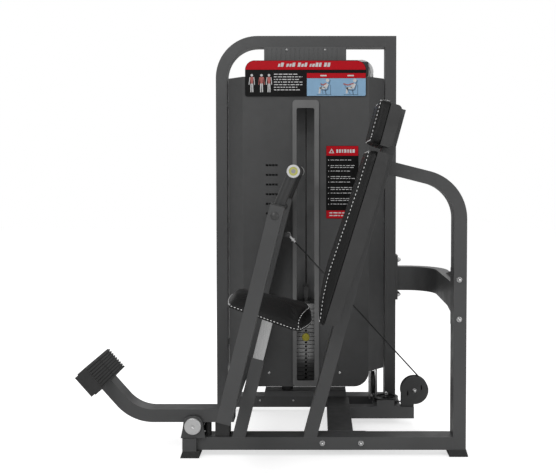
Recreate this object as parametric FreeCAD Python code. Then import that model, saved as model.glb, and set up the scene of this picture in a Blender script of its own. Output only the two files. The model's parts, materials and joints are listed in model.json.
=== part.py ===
import FreeCAD, Part
import math
import os

# Chest press machine, in millimetres. The model is laid out with X along the seat frame (the user faces -X),
# Y across the machine (the weight tower is on the +Y side) and Z up from the floor. At the end everything is
# moved so that the origin is on the floor, in the middle of the machine's footprint.

os.makedirs("parts", exist_ok=True)
V = FreeCAD.Vector

# ---- driving dimensions ----------------------------------------------------------------------------------
TUBE = 50.0                 # visible side of the frame tube
TUBE_DEPTH = 75.0           # side of the frame tube across the machine
WALL = 3.0
BEND = 165.0                # centreline radius of the frame bends
FOOT_HEIGHT = 27.0
RAIL_TOP = FOOT_HEIGHT + TUBE
RAIL_HALF = 525.0
HALF_DEPTH = TUBE_DEPTH / 2

UPRIGHT_X = 550.0
TOP_TUBE_CORNER_Z = 1054.8
TOP_TUBE_SLOPE = 14.23      # degrees, rising towards the back post

BACK_TILT = 15.07           # degrees from vertical
BACK_FOOT_X = -30.0
BACK_LENGTH = 1320.0
PAD_HALF_WIDTH = 150.0
BACK_PAD = (459.0, 1139.0)      # start and end along the post
HEAD_PAD = (1156.0, 1323.0)
# Distances up the post and in front of its centre line.
BACK_PAD_CONTOUR = [(1139, 81), (974, 87), (821, 97), (744, 102), (667, 107), (610, 107), (552, 104),
                    (506, 98), (459, 90)]
BACK_PAD_REST = [(459, 68), (1139, 43)]
HEAD_PAD_OUTLINE = [(1156, 43), (1323, 43), (1333, 88), (1156, 88)]

SEAT_TILT = 13.9
SEAT_FOOT_X = -308.0
SLEEVE_LENGTH = 313.0
SLIDER_WIDTH = 42.0
SLIDER_DEPTH = 67.0
SLIDER_INSERTED = 160.0
SEAT_HALF_WIDTH = 165.0

PIVOT_X = -484.0
PIVOT_Z = 125.0
SHAFT_R = 12.5
HUB_R = 39.0
RUNNING_GAP = 0.05          # radial clearance of a shaft in its bore
LEVER_Z = 161.25
LEVER_END_X = -327.0
LEVER_CORNER_X = -712.7
LEVER_RISE = 48.7           # degrees
LEVER_LENGTH = 262.0        # from the corner to the upper end
FOOT_PAD_LENGTH = 102.0
FOOT_PAD_CENTRE = 215.0     # from the lever's corner
FOOT_PAD_REACH = 165.0      # half the width over both pads

ARM_TILT = 14.07
ARM_Y = 388.0
ARM_FOOT = (-323.0, 251.0)
ARM_LENGTH = 769.0
GRIP_AT = (-83.0, 1110.0)
GRIP_R = 20.0
GRIP_OUTER_Y = 415.0
GRIP_INNER_Y = 270.0

TOWER_Y = 569.0
TOWER_FRONT = TOWER_Y - HALF_DEPTH
TOWER_BACK = TOWER_Y + HALF_DEPTH
TOWER_LEFT = -463.0
TOWER_RIGHT = 354.6
TOWER_TOP = 1722.5
TOWER_BASE = 28.0
TOWER_BASE_TOP = TOWER_BASE + TUBE
TOP_WEB = 1556.0            # underside of the top bracket

STACK_X = -54.7
STACK_BOTTOM = 142.0
PLATE_PITCH = 18.0
PLATE_GAP = 0.5
PLATE_SIZE = (340.0, 110.0)
RESTING_PLATES = 12
LIFTED_PLATES = 7
ROD_SPACING = 173.0
ROD_R = 12.5
STEM_R = 11.0
PIN_R = 4.5
HEAD_PLATE = 25.0

PANEL_Y = 455.0
SHEET = 3.0
SHROUD_LEFT = -405.0
SHROUD_RIGHT = 300.0
PANEL_LEFT = -334.0
PANEL_RIGHT = 227.0
PANEL_BOTTOM = 144.0
PANEL_TOP = 1530.0
WINDOW = (-95.0, -16.0, 172.0, 1391.0)
SURROUND = (-113.0, 4.5, 146.0, 1427.0)

CABLE_R = 3.0
PULLEY_R = 56.0
PULLEY_WIDTH = 18.0
WRAP_R = 53.0               # radius of the cable's centreline on a pulley
HEAD_PULLEY_R = 35.0
HEAD_WRAP_R = 31.0
BOLT_R = 6.0
EYE_PIN = (-130.0, 833.5)
EYE_LENGTH = 45.0
P1 = V(424, ARM_Y, 149)
P2 = V(303, ARM_Y + WRAP_R, P1.z - WRAP_R)
P3 = V(P2.x - WRAP_R, TOWER_Y - WRAP_R, P2.z + WRAP_R)
P4 = V(P3.x - WRAP_R, TOWER_Y, 1563)
P5 = V(STACK_X + HEAD_WRAP_R, TOWER_Y, P4.z + WRAP_R - HEAD_WRAP_R)

nodes = {}


# ---- shape helpers ---------------------------------------------------------------------------------------
def box(x0, x1, y0, y1, z0, z1):
    return Part.makeBox(x1 - x0, y1 - y0, z1 - z0, V(x0, y0, z0))


def rod(start, end, radius):
    along = end - start
    return Part.makeCylinder(radius, along.Length, start, along)


def across(x, z, radius, y0, y1):
    """A round bar along Y."""
    return Part.makeCylinder(radius, y1 - y0, V(x, y0, z), V(0, 1, 0))


def joined(shapes):
    first, *others = shapes
    return first.multiFuse(others).removeSplitter() if others else first


def rounded_edges(corners, radii, closed):
    """Lines and tangent arcs through the corners; a radius of 0 leaves a corner sharp."""
    count = len(corners)
    edges = []
    previous = None
    first = None
    for i in range(count):
        here = corners[i]
        radius = radii[i]
        if not closed and i in (0, count - 1):
            radius = 0
        if radius > 0:
            back = (corners[i - 1] - here).normalize()
            ahead = (corners[(i + 1) % count] - here).normalize()
            half = back.getAngle(ahead) / 2
            reach = radius / math.tan(half)
            middle = here + (back + ahead).normalize() * (radius / math.sin(half) - radius)
            enter = here + back * reach
            leave = here + ahead * reach
        else:
            enter = here
            leave = here
        if previous is not None and (enter - previous).Length > 1e-6:
            edges.append(Part.LineSegment(previous, enter).toShape())
        if radius > 0:
            edges.append(Part.Arc(enter, middle, leave).toShape())
        if first is None:
            first = enter
        previous = leave
    if closed and (first - previous).Length > 1e-6:
        edges.append(Part.LineSegment(previous, first).toShape())
    return edges


def slab(corners, radii, along):
    """A flat outline with rounded corners, pushed along a vector."""
    if not isinstance(radii, (list, tuple)):
        radii = [radii] * len(corners)
    wire = Part.Wire(rounded_edges(corners, radii, True))
    return Part.Face(wire).extrude(along)


def plate_xz(points, radii, y0, y1):
    return slab([V(x, y0, z) for x, z in points], radii, V(0, y1 - y0, 0))


def rectangle(x0, x1, z0, z1):
    return [(x0, z0), (x1, z0), (x1, z1), (x0, z1)]


def offset_line(path, shift):
    """The path moved sideways in its plane XY, mitred at the corners."""
    moved = []
    for i, here in enumerate(path):
        sides = []
        if i > 0:
            ahead = (here - path[i - 1]).normalize()
            sides.append(V(-ahead.y, ahead.x, 0))
        if i < len(path) - 1:
            ahead = (path[i + 1] - here).normalize()
            sides.append(V(-ahead.y, ahead.x, 0))
        if len(sides) == 1:
            moved.append(here + sides[0] * shift)
        else:
            middle = (sides[0] + sides[1]).normalize()
            moved.append(here + middle * (shift / middle.dot(sides[0])))
    return moved


def strip(path, bend, width, depth):
    """A band of the given width along a flat path in XY, centred on it, and depth thick along Z."""
    sides = []
    for shift in (width / 2, -width / 2):
        line = offset_line(path, shift)
        radii = [0.0] * len(path)
        for i in range(1, len(path) - 1):
            turn = (path[i] - path[i - 1]).cross(path[i + 1] - path[i]).z
            radii[i] = bend - shift if turn > 0 else bend + shift
        sides.append(rounded_edges(line, radii, False))
    left, right = sides
    start = Part.LineSegment(left[0].Vertexes[0].Point, right[0].Vertexes[0].Point).toShape()
    end = Part.LineSegment(left[-1].Vertexes[-1].Point, right[-1].Vertexes[-1].Point).toShape()
    wire = Part.Wire(Part.__sortEdges__(left + right + [start, end]))
    band = Part.Face(wire).extrude(V(0, 0, depth))
    band.translate(V(0, 0, -depth / 2))
    return band


def flat_tube(path, bend, width, depth, wall):
    """A hollow rectangular tube along a flat path in XY."""
    outer = strip(path, bend, width, depth)
    return outer.cut(strip(path, bend, width - 2 * wall, depth - 2 * wall))


def tube_xz(points, bend=BEND, width=TUBE, depth=TUBE_DEPTH, wall=WALL, y=0.0):
    """A hollow rectangular tube whose centre line lies in an upright plane."""
    tube = flat_tube([V(x, z, 0) for x, z in points], bend, width, depth, wall)
    tube.rotate(V(0, 0, 0), V(1, 0, 0), 90)
    tube.translate(V(0, y, 0))
    return tube


def bar_xz(points, width, depth, y=0.0):
    bar = strip([V(x, z, 0) for x, z in points], BEND, width, depth)
    bar.rotate(V(0, 0, 0), V(1, 0, 0), 90)
    bar.translate(V(0, y, 0))
    return bar


def up_from(x, z, tilt, distance):
    """A point that lies at a distance up a line leaning towards +X."""
    lean = math.radians(tilt)
    return (x + distance * math.sin(lean), z + distance * math.cos(lean))


def below(z):
    return box(-3000, 3000, -3000, 3000, -500, z)


def along_x(tube_ends, y0, y1, z0, z1, wall=WALL):
    """A hollow rectangular tube along X with open ends."""
    x0, x1 = tube_ends
    outer = box(x0, x1, y0, y1, z0, z1)
    return outer.cut(box(x0, x1, y0 + wall, y1 - wall, z0 + wall, z1 - wall))


def along_y(x0, x1, ends, z0, z1, wall=WALL):
    """A hollow rectangular tube along Y with open ends."""
    y0, y1 = ends
    outer = box(x0, x1, y0, y1, z0, z1)
    return outer.cut(box(x0 + wall, x1 - wall, y0, y1, z0 + wall, z1 - wall))


def hexagon_points(radius, z):
    corners = []
    for k in range(6):
        turn = k * math.pi / 3
        corners.append(V(radius * math.cos(turn), radius * math.sin(turn), z))
    return corners


def acorn_nut(place, along, across_flats=17.0):
    """A domed nut on its washer, standing on a face."""
    side = across_flats / math.sqrt(3)
    hexagon = slab(hexagon_points(side, 1.5), 0, V(0, 0, 7))
    washer = Part.makeCylinder(across_flats * 0.62, 1.5)
    dome = Part.makeSphere(across_flats * 0.44, V(0, 0, 8)).cut(below(8))
    nut = joined([washer, hexagon, dome])
    nut.Placement = FreeCAD.Placement(place, FreeCAD.Rotation(V(0, 0, 1), along))
    return nut


def screw_head(place, along, radius=5.0):
    """A round screw head with a hexagon socket."""
    head = Part.makeCylinder(radius, 4.0)
    head = head.makeFillet(1.5, [head.Edges[0]])
    head = head.cut(slab(hexagon_points(0.5 * radius, 2), 0, V(0, 0, 3)))
    head.Placement = FreeCAD.Placement(place, FreeCAD.Rotation(V(0, 0, 1), along))
    return head


# ---- seat frame ------------------------------------------------------------------------------------------
def seat_frame():
    cross = box(-RAIL_HALF, -471, -55, 55, FOOT_HEIGHT, RAIL_TOP)
    cross = cross.cut(box(-RAIL_HALF + WALL, -471 - WALL, -52, 52, FOOT_HEIGHT + WALL, RAIL_TOP - WALL))
    rail = along_x((-471, RAIL_HALF), -HALF_DEPTH, HALF_DEPTH, FOOT_HEIGHT, RAIL_TOP)
    nodes["base_rail"] = joined([cross, rail])

    post_base = up_from(BACK_FOOT_X, RAIL_TOP, BACK_TILT, -40)
    post_top = up_from(BACK_FOOT_X, RAIL_TOP, BACK_TILT, BACK_LENGTH)
    post = tube_xz([post_base, post_top]).cut(below(RAIL_TOP))
    cap_start = up_from(BACK_FOOT_X, RAIL_TOP, BACK_TILT, BACK_LENGTH - WALL)
    cap = bar_xz([cap_start, post_top], TUBE, TUBE_DEPTH)
    nodes["back_post"] = joined([post, cap])

    slope = math.radians(TOP_TUBE_SLOPE)
    end = (UPRIGHT_X - 320 * math.cos(slope), TOP_TUBE_CORNER_Z + 320 * math.sin(slope))
    upright = tube_xz([(UPRIGHT_X, FOOT_HEIGHT), (UPRIGHT_X, TOP_TUBE_CORNER_Z), end])
    behind_post = bar_xz([post_base, post_top], TUBE, 400)
    upright = upright.cut(behind_post)
    nodes["rear_upright"] = max(upright.Solids, key=lambda piece: piece.Volume)

    sleeve_base = up_from(SEAT_FOOT_X, RAIL_TOP, SEAT_TILT, -30)
    sleeve_top = up_from(SEAT_FOOT_X, RAIL_TOP, SEAT_TILT, SLEEVE_LENGTH)
    nodes["seat_post_sleeve"] = tube_xz([sleeve_base, sleeve_top]).cut(below(RAIL_TOP))


def foot(x0, x1, y0, y1, height, lean_low, lean_high):
    """A rubber foot whose ends lean outwards towards the floor."""
    points = [(x0 - lean_low, 0), (x1 + lean_high, 0), (x1, height), (x0, height)]
    return plate_xz(points, [2, 2, 0, 0], y0, y1)


def rubber_feet():
    seat_depth = HALF_DEPTH + 2
    front = foot(-525, -460, -55, 55, FOOT_HEIGHT, 9, 0)
    rear = foot(510, 577, -seat_depth, seat_depth, FOOT_HEIGHT, 0, 8)
    left = foot(TOWER_LEFT, TOWER_LEFT + 70, TOWER_FRONT, TOWER_BACK, TOWER_BASE, 6, 0)
    right = foot(TOWER_RIGHT - 70, TOWER_RIGHT, TOWER_FRONT, TOWER_BACK, TOWER_BASE, 0, 6)
    nodes["rubber_feet"] = Part.makeCompound([front, rear, left, right])


def pivot():
    ears = []
    for y0 in (-50.0, 40.0):
        points = [(PIVOT_X - 48, RAIL_TOP), (PIVOT_X + 48, RAIL_TOP), (PIVOT_X + 40, PIVOT_Z - 8),
                  (PIVOT_X + 34, PIVOT_Z + 38), (PIVOT_X - 34, PIVOT_Z + 38), (PIVOT_X - 40, PIVOT_Z - 8)]
        ear = plate_xz(points, [0, 0, 20, 30, 30, 20], y0, y0 + 10)
        ears.append(ear.cut(across(PIVOT_X, PIVOT_Z, SHAFT_R, y0, y0 + 10)))
    nodes["pivot_bracket"] = Part.makeCompound(ears)
    nodes["pivot_shaft"] = across(PIVOT_X, PIVOT_Z, SHAFT_R, -50, 50)
    caps = []
    for y0, face in ((-60.0, -60.0), (50.0, 60.0)):
        cap = across(PIVOT_X, PIVOT_Z, 32.5, y0, y0 + 10)
        dimple = Part.makeSphere(9, V(PIVOT_X, face + math.copysign(5.5, face), PIVOT_Z))
        outer_edge = [edge for edge in cap.Edges if abs(edge.CenterOfMass.y - face) < 0.1]
        caps.append(cap.makeFillet(3, outer_edge).cut(dimple))
    nodes["pivot_caps"] = Part.makeCompound(caps)

    lever_under = LEVER_Z - TUBE / 2
    bumper = Part.makeCylinder(12, lever_under - 8 - RAIL_TOP, V(-430, 0, RAIL_TOP))
    bumper_head = Part.makeCylinder(14, 8, V(-430, 0, lever_under - 8))
    block = plate_xz(rectangle(-400, -345, RAIL_TOP, lever_under), 4, -30, 30)
    nodes["lever_stops"] = Part.makeCompound([joined([bumper, bumper_head]), block])


# ---- links between the seat frame and the weight tower ---------------------------------------------------
def links():
    plate = 8.0
    link = along_y(40, 140, (HALF_DEPTH + plate, TOWER_FRONT), FOOT_HEIGHT, RAIL_TOP)
    flange = box(-5, 189, HALF_DEPTH, HALF_DEPTH + plate, FOOT_HEIGHT + 2, RAIL_TOP - 1)
    nodes["lower_link"] = joined([link, flange])

    beam = along_x((140, 421), 363, 413, FOOT_HEIGHT, RAIL_TOP)
    beam_end = box(418, 421, 363, 413, FOOT_HEIGHT, RAIL_TOP)
    nodes["pulley_beam"] = joined([beam, beam_end])

    height = 108.0
    middle_z = 620.0
    path = [V(TOWER_RIGHT + 10, TOWER_Y, 0), V(UPRIGHT_X, TOWER_Y, 0), V(UPRIGHT_X, HALF_DEPTH + plate, 0)]
    brace = flat_tube(path, 150, TUBE, height, WALL)
    brace.translate(V(0, 0, middle_z))
    tower_flange = box(TOWER_RIGHT, TOWER_RIGHT + 10, TOWER_Y - 35, TOWER_Y + 35, 524, 727)
    seat_flange = box(525, 575, HALF_DEPTH, HALF_DEPTH + plate, 505, 730)
    gussets = []
    for side, length, rise in ((-1, 360, 56), (1, 260, 50)):
        near = V(UPRIGHT_X - 3, HALF_DEPTH + plate, middle_z + side * height / 2)
        far = near + V(0, length, 0)
        tip = near + V(0, 0, side * rise)
        gussets.append(slab([near, far, tip], 0, V(6, 0, 0)))
    nodes["upper_brace"] = joined([brace, tower_flange, seat_flange] + gussets)


# ---- weight tower ----------------------------------------------------------------------------------------
def tower_frame():
    ends = (TOWER_LEFT, TOWER_RIGHT)
    nodes["tower_base"] = along_x(ends, TOWER_FRONT, TOWER_BACK, TOWER_BASE, TOWER_BASE_TOP)
    left = TOWER_LEFT + TUBE / 2
    top = TOWER_TOP - TUBE / 2
    hoop = tube_xz([(left, TOWER_BASE_TOP), (left, top), (TOWER_RIGHT - TUBE, top)], y=TOWER_Y)
    nodes["tower_hoop"] = hoop
    right = TOWER_RIGHT - TUBE / 2
    upright = tube_xz([(right, TOWER_BASE_TOP), (right, TOWER_TOP)], y=TOWER_Y)
    cap = bar_xz([(right, TOWER_TOP - WALL), (right, TOWER_TOP)], TUBE, TUBE_DEPTH, y=TOWER_Y)
    nodes["tower_right_upright"] = joined([upright, cap])


def rod_places():
    return [STACK_X - ROD_SPACING / 2, STACK_X + ROD_SPACING / 2]


def rod_brackets():
    x0, x1 = -244.0, 128.0
    under_top = TOWER_TOP - TUBE
    top = box(x0, x1, TOWER_FRONT, TOWER_BACK, TOP_WEB, under_top)
    top = top.cut(box(x0, x1, TOWER_FRONT + 4, TOWER_BACK - 4, TOP_WEB + 6, under_top))
    top = top.cut(box(P5.x - 44, P5.x + 44, TOWER_Y - 14, TOWER_Y + 14, TOP_WEB, TOP_WEB + 6))
    top = top.cut(across(P5.x, P5.z, BOLT_R, TOWER_FRONT, TOWER_BACK))
    for k in range(-6, 12):
        groove_x = x0 + 12 + (k + 6) * 21
        top = top.cut(box(groove_x, groove_x + 6, TOWER_FRONT, TOWER_FRONT + 1.2, TOP_WEB + 8, under_top - 8))
    bottom = box(x0, x1, TOWER_FRONT, TOWER_BACK, TOWER_BASE_TOP, TOWER_BASE_TOP + 25)
    bottom = bottom.cut(box(x0, x1, TOWER_FRONT + 4, TOWER_BACK - 4, TOWER_BASE_TOP, TOWER_BASE_TOP + 20))
    nodes["rod_brackets"] = Part.makeCompound([top, bottom])
    foot_z = TOWER_BASE_TOP + 25
    nodes["guide_rods"] = Part.makeCompound([
        Part.makeCylinder(ROD_R, TOP_WEB - foot_z, V(x, TOWER_Y, foot_z)) for x in rod_places()])
    bumpers = []
    for x in rod_places():
        ring = Part.makeCylinder(26, STACK_BOTTOM - foot_z, V(x, TOWER_Y, foot_z))
        bumpers.append(ring.cut(Part.makeCylinder(ROD_R, STACK_BOTTOM - foot_z, V(x, TOWER_Y, foot_z))))
    nodes["stack_bumpers"] = Part.makeCompound(bumpers)


def weight_plate(bottom, thickness):
    wide, deep = PLATE_SIZE
    x0 = STACK_X - wide / 2
    y0 = TOWER_Y - deep / 2
    plate = Part.makeBox(wide, deep, thickness, V(x0, y0, bottom))
    plate = plate.makeChamfer(1.5, [edge for edge in plate.Edges if abs(edge.CenterOfMass.y - y0) < 0.1])
    for x in rod_places():
        plate = plate.cut(Part.makeCylinder(ROD_R + 1, thickness, V(x, TOWER_Y, bottom)))
    plate = plate.cut(Part.makeCylinder(STEM_R + 1, thickness, V(STACK_X, TOWER_Y, bottom)))
    pin_z = bottom + thickness / 2
    return plate.cut(across(STACK_X, pin_z, PIN_R + 0.5, y0, TOWER_Y + 20))


def stack():
    thickness = PLATE_PITCH - PLATE_GAP
    resting = [weight_plate(STACK_BOTTOM + k * PLATE_PITCH, thickness) for k in range(RESTING_PLATES)]
    nodes["resting_plates"] = Part.makeCompound(resting)
    first = STACK_BOTTOM + RESTING_PLATES * PLATE_PITCH
    lifted = [weight_plate(first + k * PLATE_PITCH, thickness) for k in range(LIFTED_PLATES)]
    nodes["lifted_plates"] = Part.makeCompound(lifted)

    head_z = first + LIFTED_PLATES * PLATE_PITCH
    head = weight_plate(head_z, HEAD_PLATE)
    collar = Part.makeCylinder(24, 4, V(STACK_X, TOWER_Y, head_z + HEAD_PLATE - 0.5))
    collar = collar.cut(Part.makeCylinder(STEM_R, 10, V(STACK_X, TOWER_Y, head_z + HEAD_PLATE - 1)))
    nodes["head_plate"] = joined([head, collar])

    stem_foot = STACK_BOTTOM + 6
    stem_top = head_z + HEAD_PLATE + 6
    stem = Part.makeCylinder(STEM_R, stem_top - stem_foot, V(STACK_X, TOWER_Y, stem_foot))
    for k in range(RESTING_PLATES + LIFTED_PLATES):
        pin_z = STACK_BOTTOM + k * PLATE_PITCH + thickness / 2
        stem = stem.cut(across(STACK_X, pin_z, PIN_R + 0.5, TOWER_Y - 20, TOWER_Y + 20))
    nodes["selector_stem"] = stem

    clevis_z = stem_top
    base = Part.makeCylinder(13, 14, V(STACK_X, TOWER_Y, clevis_z))
    arms = []
    for y in (TOWER_Y - 11, TOWER_Y + 5):
        side = rectangle(STACK_X - 10, STACK_X + 10, clevis_z + 13, clevis_z + 66)
        arms.append(plate_xz(side, 4, y, y + 6))
    pin = across(STACK_X, clevis_z + 54, 4, TOWER_Y - 13, TOWER_Y + 13)
    ferrule = Part.makeCylinder(4.6, 34, V(STACK_X, TOWER_Y, clevis_z + 48))
    nodes["stack_clevis"] = joined([base] + arms + [pin, ferrule])

    pin_z = first + thickness / 2
    knob_front = 448.0
    nodes["selector_pin"] = across(STACK_X, pin_z, PIN_R, knob_front + 20, TOWER_Y + 8)
    knob = across(STACK_X, pin_z, 17, knob_front, knob_front + 16)
    knob = knob.makeFillet(4, [edge for edge in knob.Edges if abs(edge.CenterOfMass.y - knob_front) < 0.1])
    neck = across(STACK_X, pin_z, 10, knob_front + 15, knob_front + 34)
    neck = neck.cut(across(STACK_X, pin_z, PIN_R, knob_front + 20, knob_front + 34))
    nodes["selector_knob"] = joined([knob, neck])
    return clevis_z + 82


def shroud_sheet(side):
    """A folded sheet; side is 1 for the front shroud and -1 for its mirror at the back of the tower."""
    lip = TOWER_Y - 9
    line = [(SHROUD_LEFT, lip), (SHROUD_LEFT, TOWER_FRONT), (PANEL_LEFT, PANEL_Y), (PANEL_RIGHT, PANEL_Y),
            (SHROUD_RIGHT, TOWER_FRONT), (SHROUD_RIGHT, lip)]
    path = [V(x, y, 0) for x, y in line]
    inner = offset_line(path, SHEET)
    sheet = slab(path + inner[::-1], 0, V(0, 0, PANEL_TOP))
    low_wing = 212
    left = PANEL_LEFT - 1
    right = PANEL_RIGHT + 1
    outline = [(-420, PANEL_TOP), (-420, low_wing), (left, low_wing), (left, PANEL_BOTTOM),
               (right, PANEL_BOTTOM), (right, low_wing), (320, low_wing), (320, PANEL_TOP)]
    reach = low_wing - PANEL_BOTTOM - 1
    sheet = sheet.common(plate_xz(outline, [0, 0, 0, reach, reach, 0, 0, 0], 400, 600))
    if side < 0:
        sheet = sheet.mirror(V(0, TOWER_Y, 0), V(0, 1, 0))
    return sheet


def shrouds():
    front = shroud_sheet(1)
    x0, x1, z0, z1 = WINDOW
    front = front.cut(plate_xz(rectangle(x0 - 2, x1 + 2, z0 - 2, z1 + 2), 8, PANEL_Y - 5, PANEL_Y + 10))
    vents = []
    for row in range(6):
        for column in range(4):
            left = -232 + column * 14
            low = 1133 - row * 43
            vents.append(box(left, left + 10.5, PANEL_Y - 5, PANEL_Y + 10, low, low + 9))
    front = front.cut(Part.makeCompound(vents))
    tabs = []
    for z in (330, 862, 1412):
        tabs.append(box(TOWER_LEFT + TUBE, SHROUD_LEFT, TOWER_FRONT + 4, TOWER_FRONT + 24, z - 12, z + 12))
        tabs.append(box(SHROUD_RIGHT, TOWER_RIGHT - TUBE, TOWER_FRONT + 4, TOWER_FRONT + 24, z - 12, z + 12))
    nodes["front_shroud"] = joined([front] + tabs)
    nodes["rear_shroud"] = shroud_sheet(-1)

    sx0, sx1, sz0, sz1 = SURROUND
    surround = plate_xz(rectangle(sx0, sx1, sz0, sz1), 16, PANEL_Y - 8, PANEL_Y)
    nodes["window_surround"] = surround.cut(plate_xz(rectangle(x0, x1, z0, z1), 7, PANEL_Y - 10, PANEL_Y + 1))
    nodes["label_panel"] = plate_xz(rectangle(36.5, 180, 900, 1224), 4, PANEL_Y - 2, PANEL_Y)
    placard = plate_xz(rectangle(-323, 213, 1443, 1601), [8, 8, 42, 42], PANEL_Y - 6, PANEL_Y - 3)
    back = plate_xz(rectangle(-300, 190, 1456, 1570), 6, PANEL_Y - 3, PANEL_Y)
    nodes["placard"] = joined([placard, back])


# ---- cable and pulleys -----------------------------------------------------------------------------------
def pulley(centre, axis, rim):
    """A grooved pulley with a lightened web, turned from its half section."""
    half = PULLEY_WIDTH / 2
    wrap = WRAP_R if rim > 50 else HEAD_WRAP_R
    groove = wrap - CABLE_R - 0.1
    bore = BOLT_R + RUNNING_GAP
    web_in = bore + 8
    web_out = groove - 7
    outline = [(bore, -half), (web_in, -half), (web_in, -3), (web_out, -3), (web_out, -half + 1),
               (rim, -half + 1), (groove, -3.6), (groove, 3.6), (rim, half - 1), (web_out, half - 1),
               (web_out, 3), (web_in, 3), (web_in, half), (bore, half)]
    corners = [V(r, 0, z) for r, z in outline]
    section = Part.Face(Part.Wire(rounded_edges(corners, [0.0] * len(corners), True)))
    wheel = section.revolve(V(0, 0, 0), V(0, 0, 1), 360)
    if rim > 50:
        for k in range(5):
            turn = 2 * math.pi * k / 5
            hole = V(27 * math.cos(turn), 27 * math.sin(turn), -10)
            wheel = wheel.cut(Part.makeCylinder(7, 20, hole))
    wheel.Placement = FreeCAD.Placement(centre, FreeCAD.Rotation(V(0, 0, 1), axis))
    return wheel


def pulleys():
    y_axis = V(0, 1, 0)
    nodes["outer_pulley"] = pulley(P1, y_axis, PULLEY_R)
    nodes["turn_pulley"] = pulley(P2, V(0, 0, 1), PULLEY_R)
    nodes["riser_pulley"] = pulley(P3, V(1, 0, 0), PULLEY_R)
    nodes["top_pulley"] = pulley(P4, y_axis, PULLEY_R)
    nodes["head_pulley"] = pulley(P5, y_axis, HEAD_PULLEY_R)
    bolts = [
        rod(P1 - V(0, 24, 0), P1 + V(0, 24, 0), BOLT_R),
        rod(V(P2.x, P2.y, RAIL_TOP + 4), P2 + V(0, 0, 16), BOLT_R),
        rod(P3 - V(20, 0, 0), P3 + V(20, 0, 0), BOLT_R),
        rod(P4 - V(0, 24, 0), P4 + V(0, 24, 0), BOLT_R),
        rod(V(P5.x, TOWER_FRONT, P5.z), V(P5.x, TOWER_BACK, P5.z), BOLT_R)]
    nodes["pulley_bolts"] = Part.makeCompound(bolts)


def pulley_brackets():
    cheeks = []
    for y0 in (ARM_Y - 17, ARM_Y + 12):
        leg = plate_xz(rectangle(P1.x - 58, P1.x - 3, RAIL_TOP, P1.z), 0, y0, y0 + 5)
        disc = across(P1.x, P1.z, 61, y0, y0 + 5)
        cheek = joined([leg, disc]).cut(across(P1.x, P1.z, BOLT_R, y0, y0 + 5))
        for side in (-1, 1):
            x = P1.x + side * 30
            z = P1.z + side * 12
            cheek = cheek.cut(plate_xz(rectangle(x - 3, x + 3, z - 11, z + 11), 2.9, y0, y0 + 5))
        cheeks.append(cheek)
    nodes["outer_pulley_housing"] = Part.makeCompound(cheeks)

    tray = box(P2.x - 60, P2.x + 60, 363, P2.y + 62, RAIL_TOP, RAIL_TOP + 4)
    tray = tray.cut(box(P3.x - 20, P3.x + 20, P2.y + 10, P2.y + 70, RAIL_TOP - 1, RAIL_TOP + 5))
    guard = box(P2.x - 45, P2.x + 32, 363, 367, RAIL_TOP, RAIL_TOP + 30)
    nodes["pulley_beam"] = joined([nodes["pulley_beam"], tray, guard])
    straps = []
    for side in (-1, 1):
        x0 = P3.x + side * 16 - 2.5
        points = [V(x0, 487, TOWER_BASE_TOP), V(x0, 556, TOWER_BASE_TOP), V(x0, 545, 208), V(x0, 487, 208)]
        plate = slab(points, [0, 0, 16, 0], V(5, 0, 0))
        flange_x = sorted((P3.x + side * 10.5, P3.x + side * 18.5))
        flange = box(flange_x[0], flange_x[1], 487, 491, TOWER_BASE_TOP + 14, 208)
        straps.append(joined([plate, flange]).cut(rod(P3 - V(30, 0, 0), P3 + V(30, 0, 0), BOLT_R)))
    nodes["lower_pulley_brackets"] = Part.makeCompound(straps)

    hangers = []
    outline = [(70, TOP_WEB + 6), (150, TOP_WEB + 6), (P4.x - 18, P4.z - 28), (P4.x + 33, P4.z - 28),
               (P4.x + 33, P4.z + 46), (70, P4.z + 46)]
    for y0 in (TOWER_Y - 17, TOWER_Y + 12):
        hanger = plate_xz(outline, [0, 10, 16, 20, 5, 5], y0, y0 + 5)
        hangers.append(hanger.cut(across(P4.x, P4.z, BOLT_R, y0, y0 + 5)))
    nodes["top_pulley_hangers"] = Part.makeCompound(hangers)


def tangent_point():
    """Where the span from the eye's pin meets the outer pulley, and the span's direction."""
    pin = V(EYE_PIN[0], ARM_Y, EYE_PIN[1])
    across_gap = P1 - pin
    heading = math.atan2(across_gap.z, across_gap.x) + math.asin(WRAP_R / across_gap.Length)
    direction = V(math.cos(heading), 0, math.sin(heading))
    return P1 + V(-direction.z, 0, direction.x) * WRAP_R, direction


def wrap(centre, start, end, radius):
    """The arc of the cable's centreline about a pulley, the short way from start to end."""
    middle = ((start - centre) + (end - centre)).normalize() * radius + centre
    return Part.Arc(start, middle, end)


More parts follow.
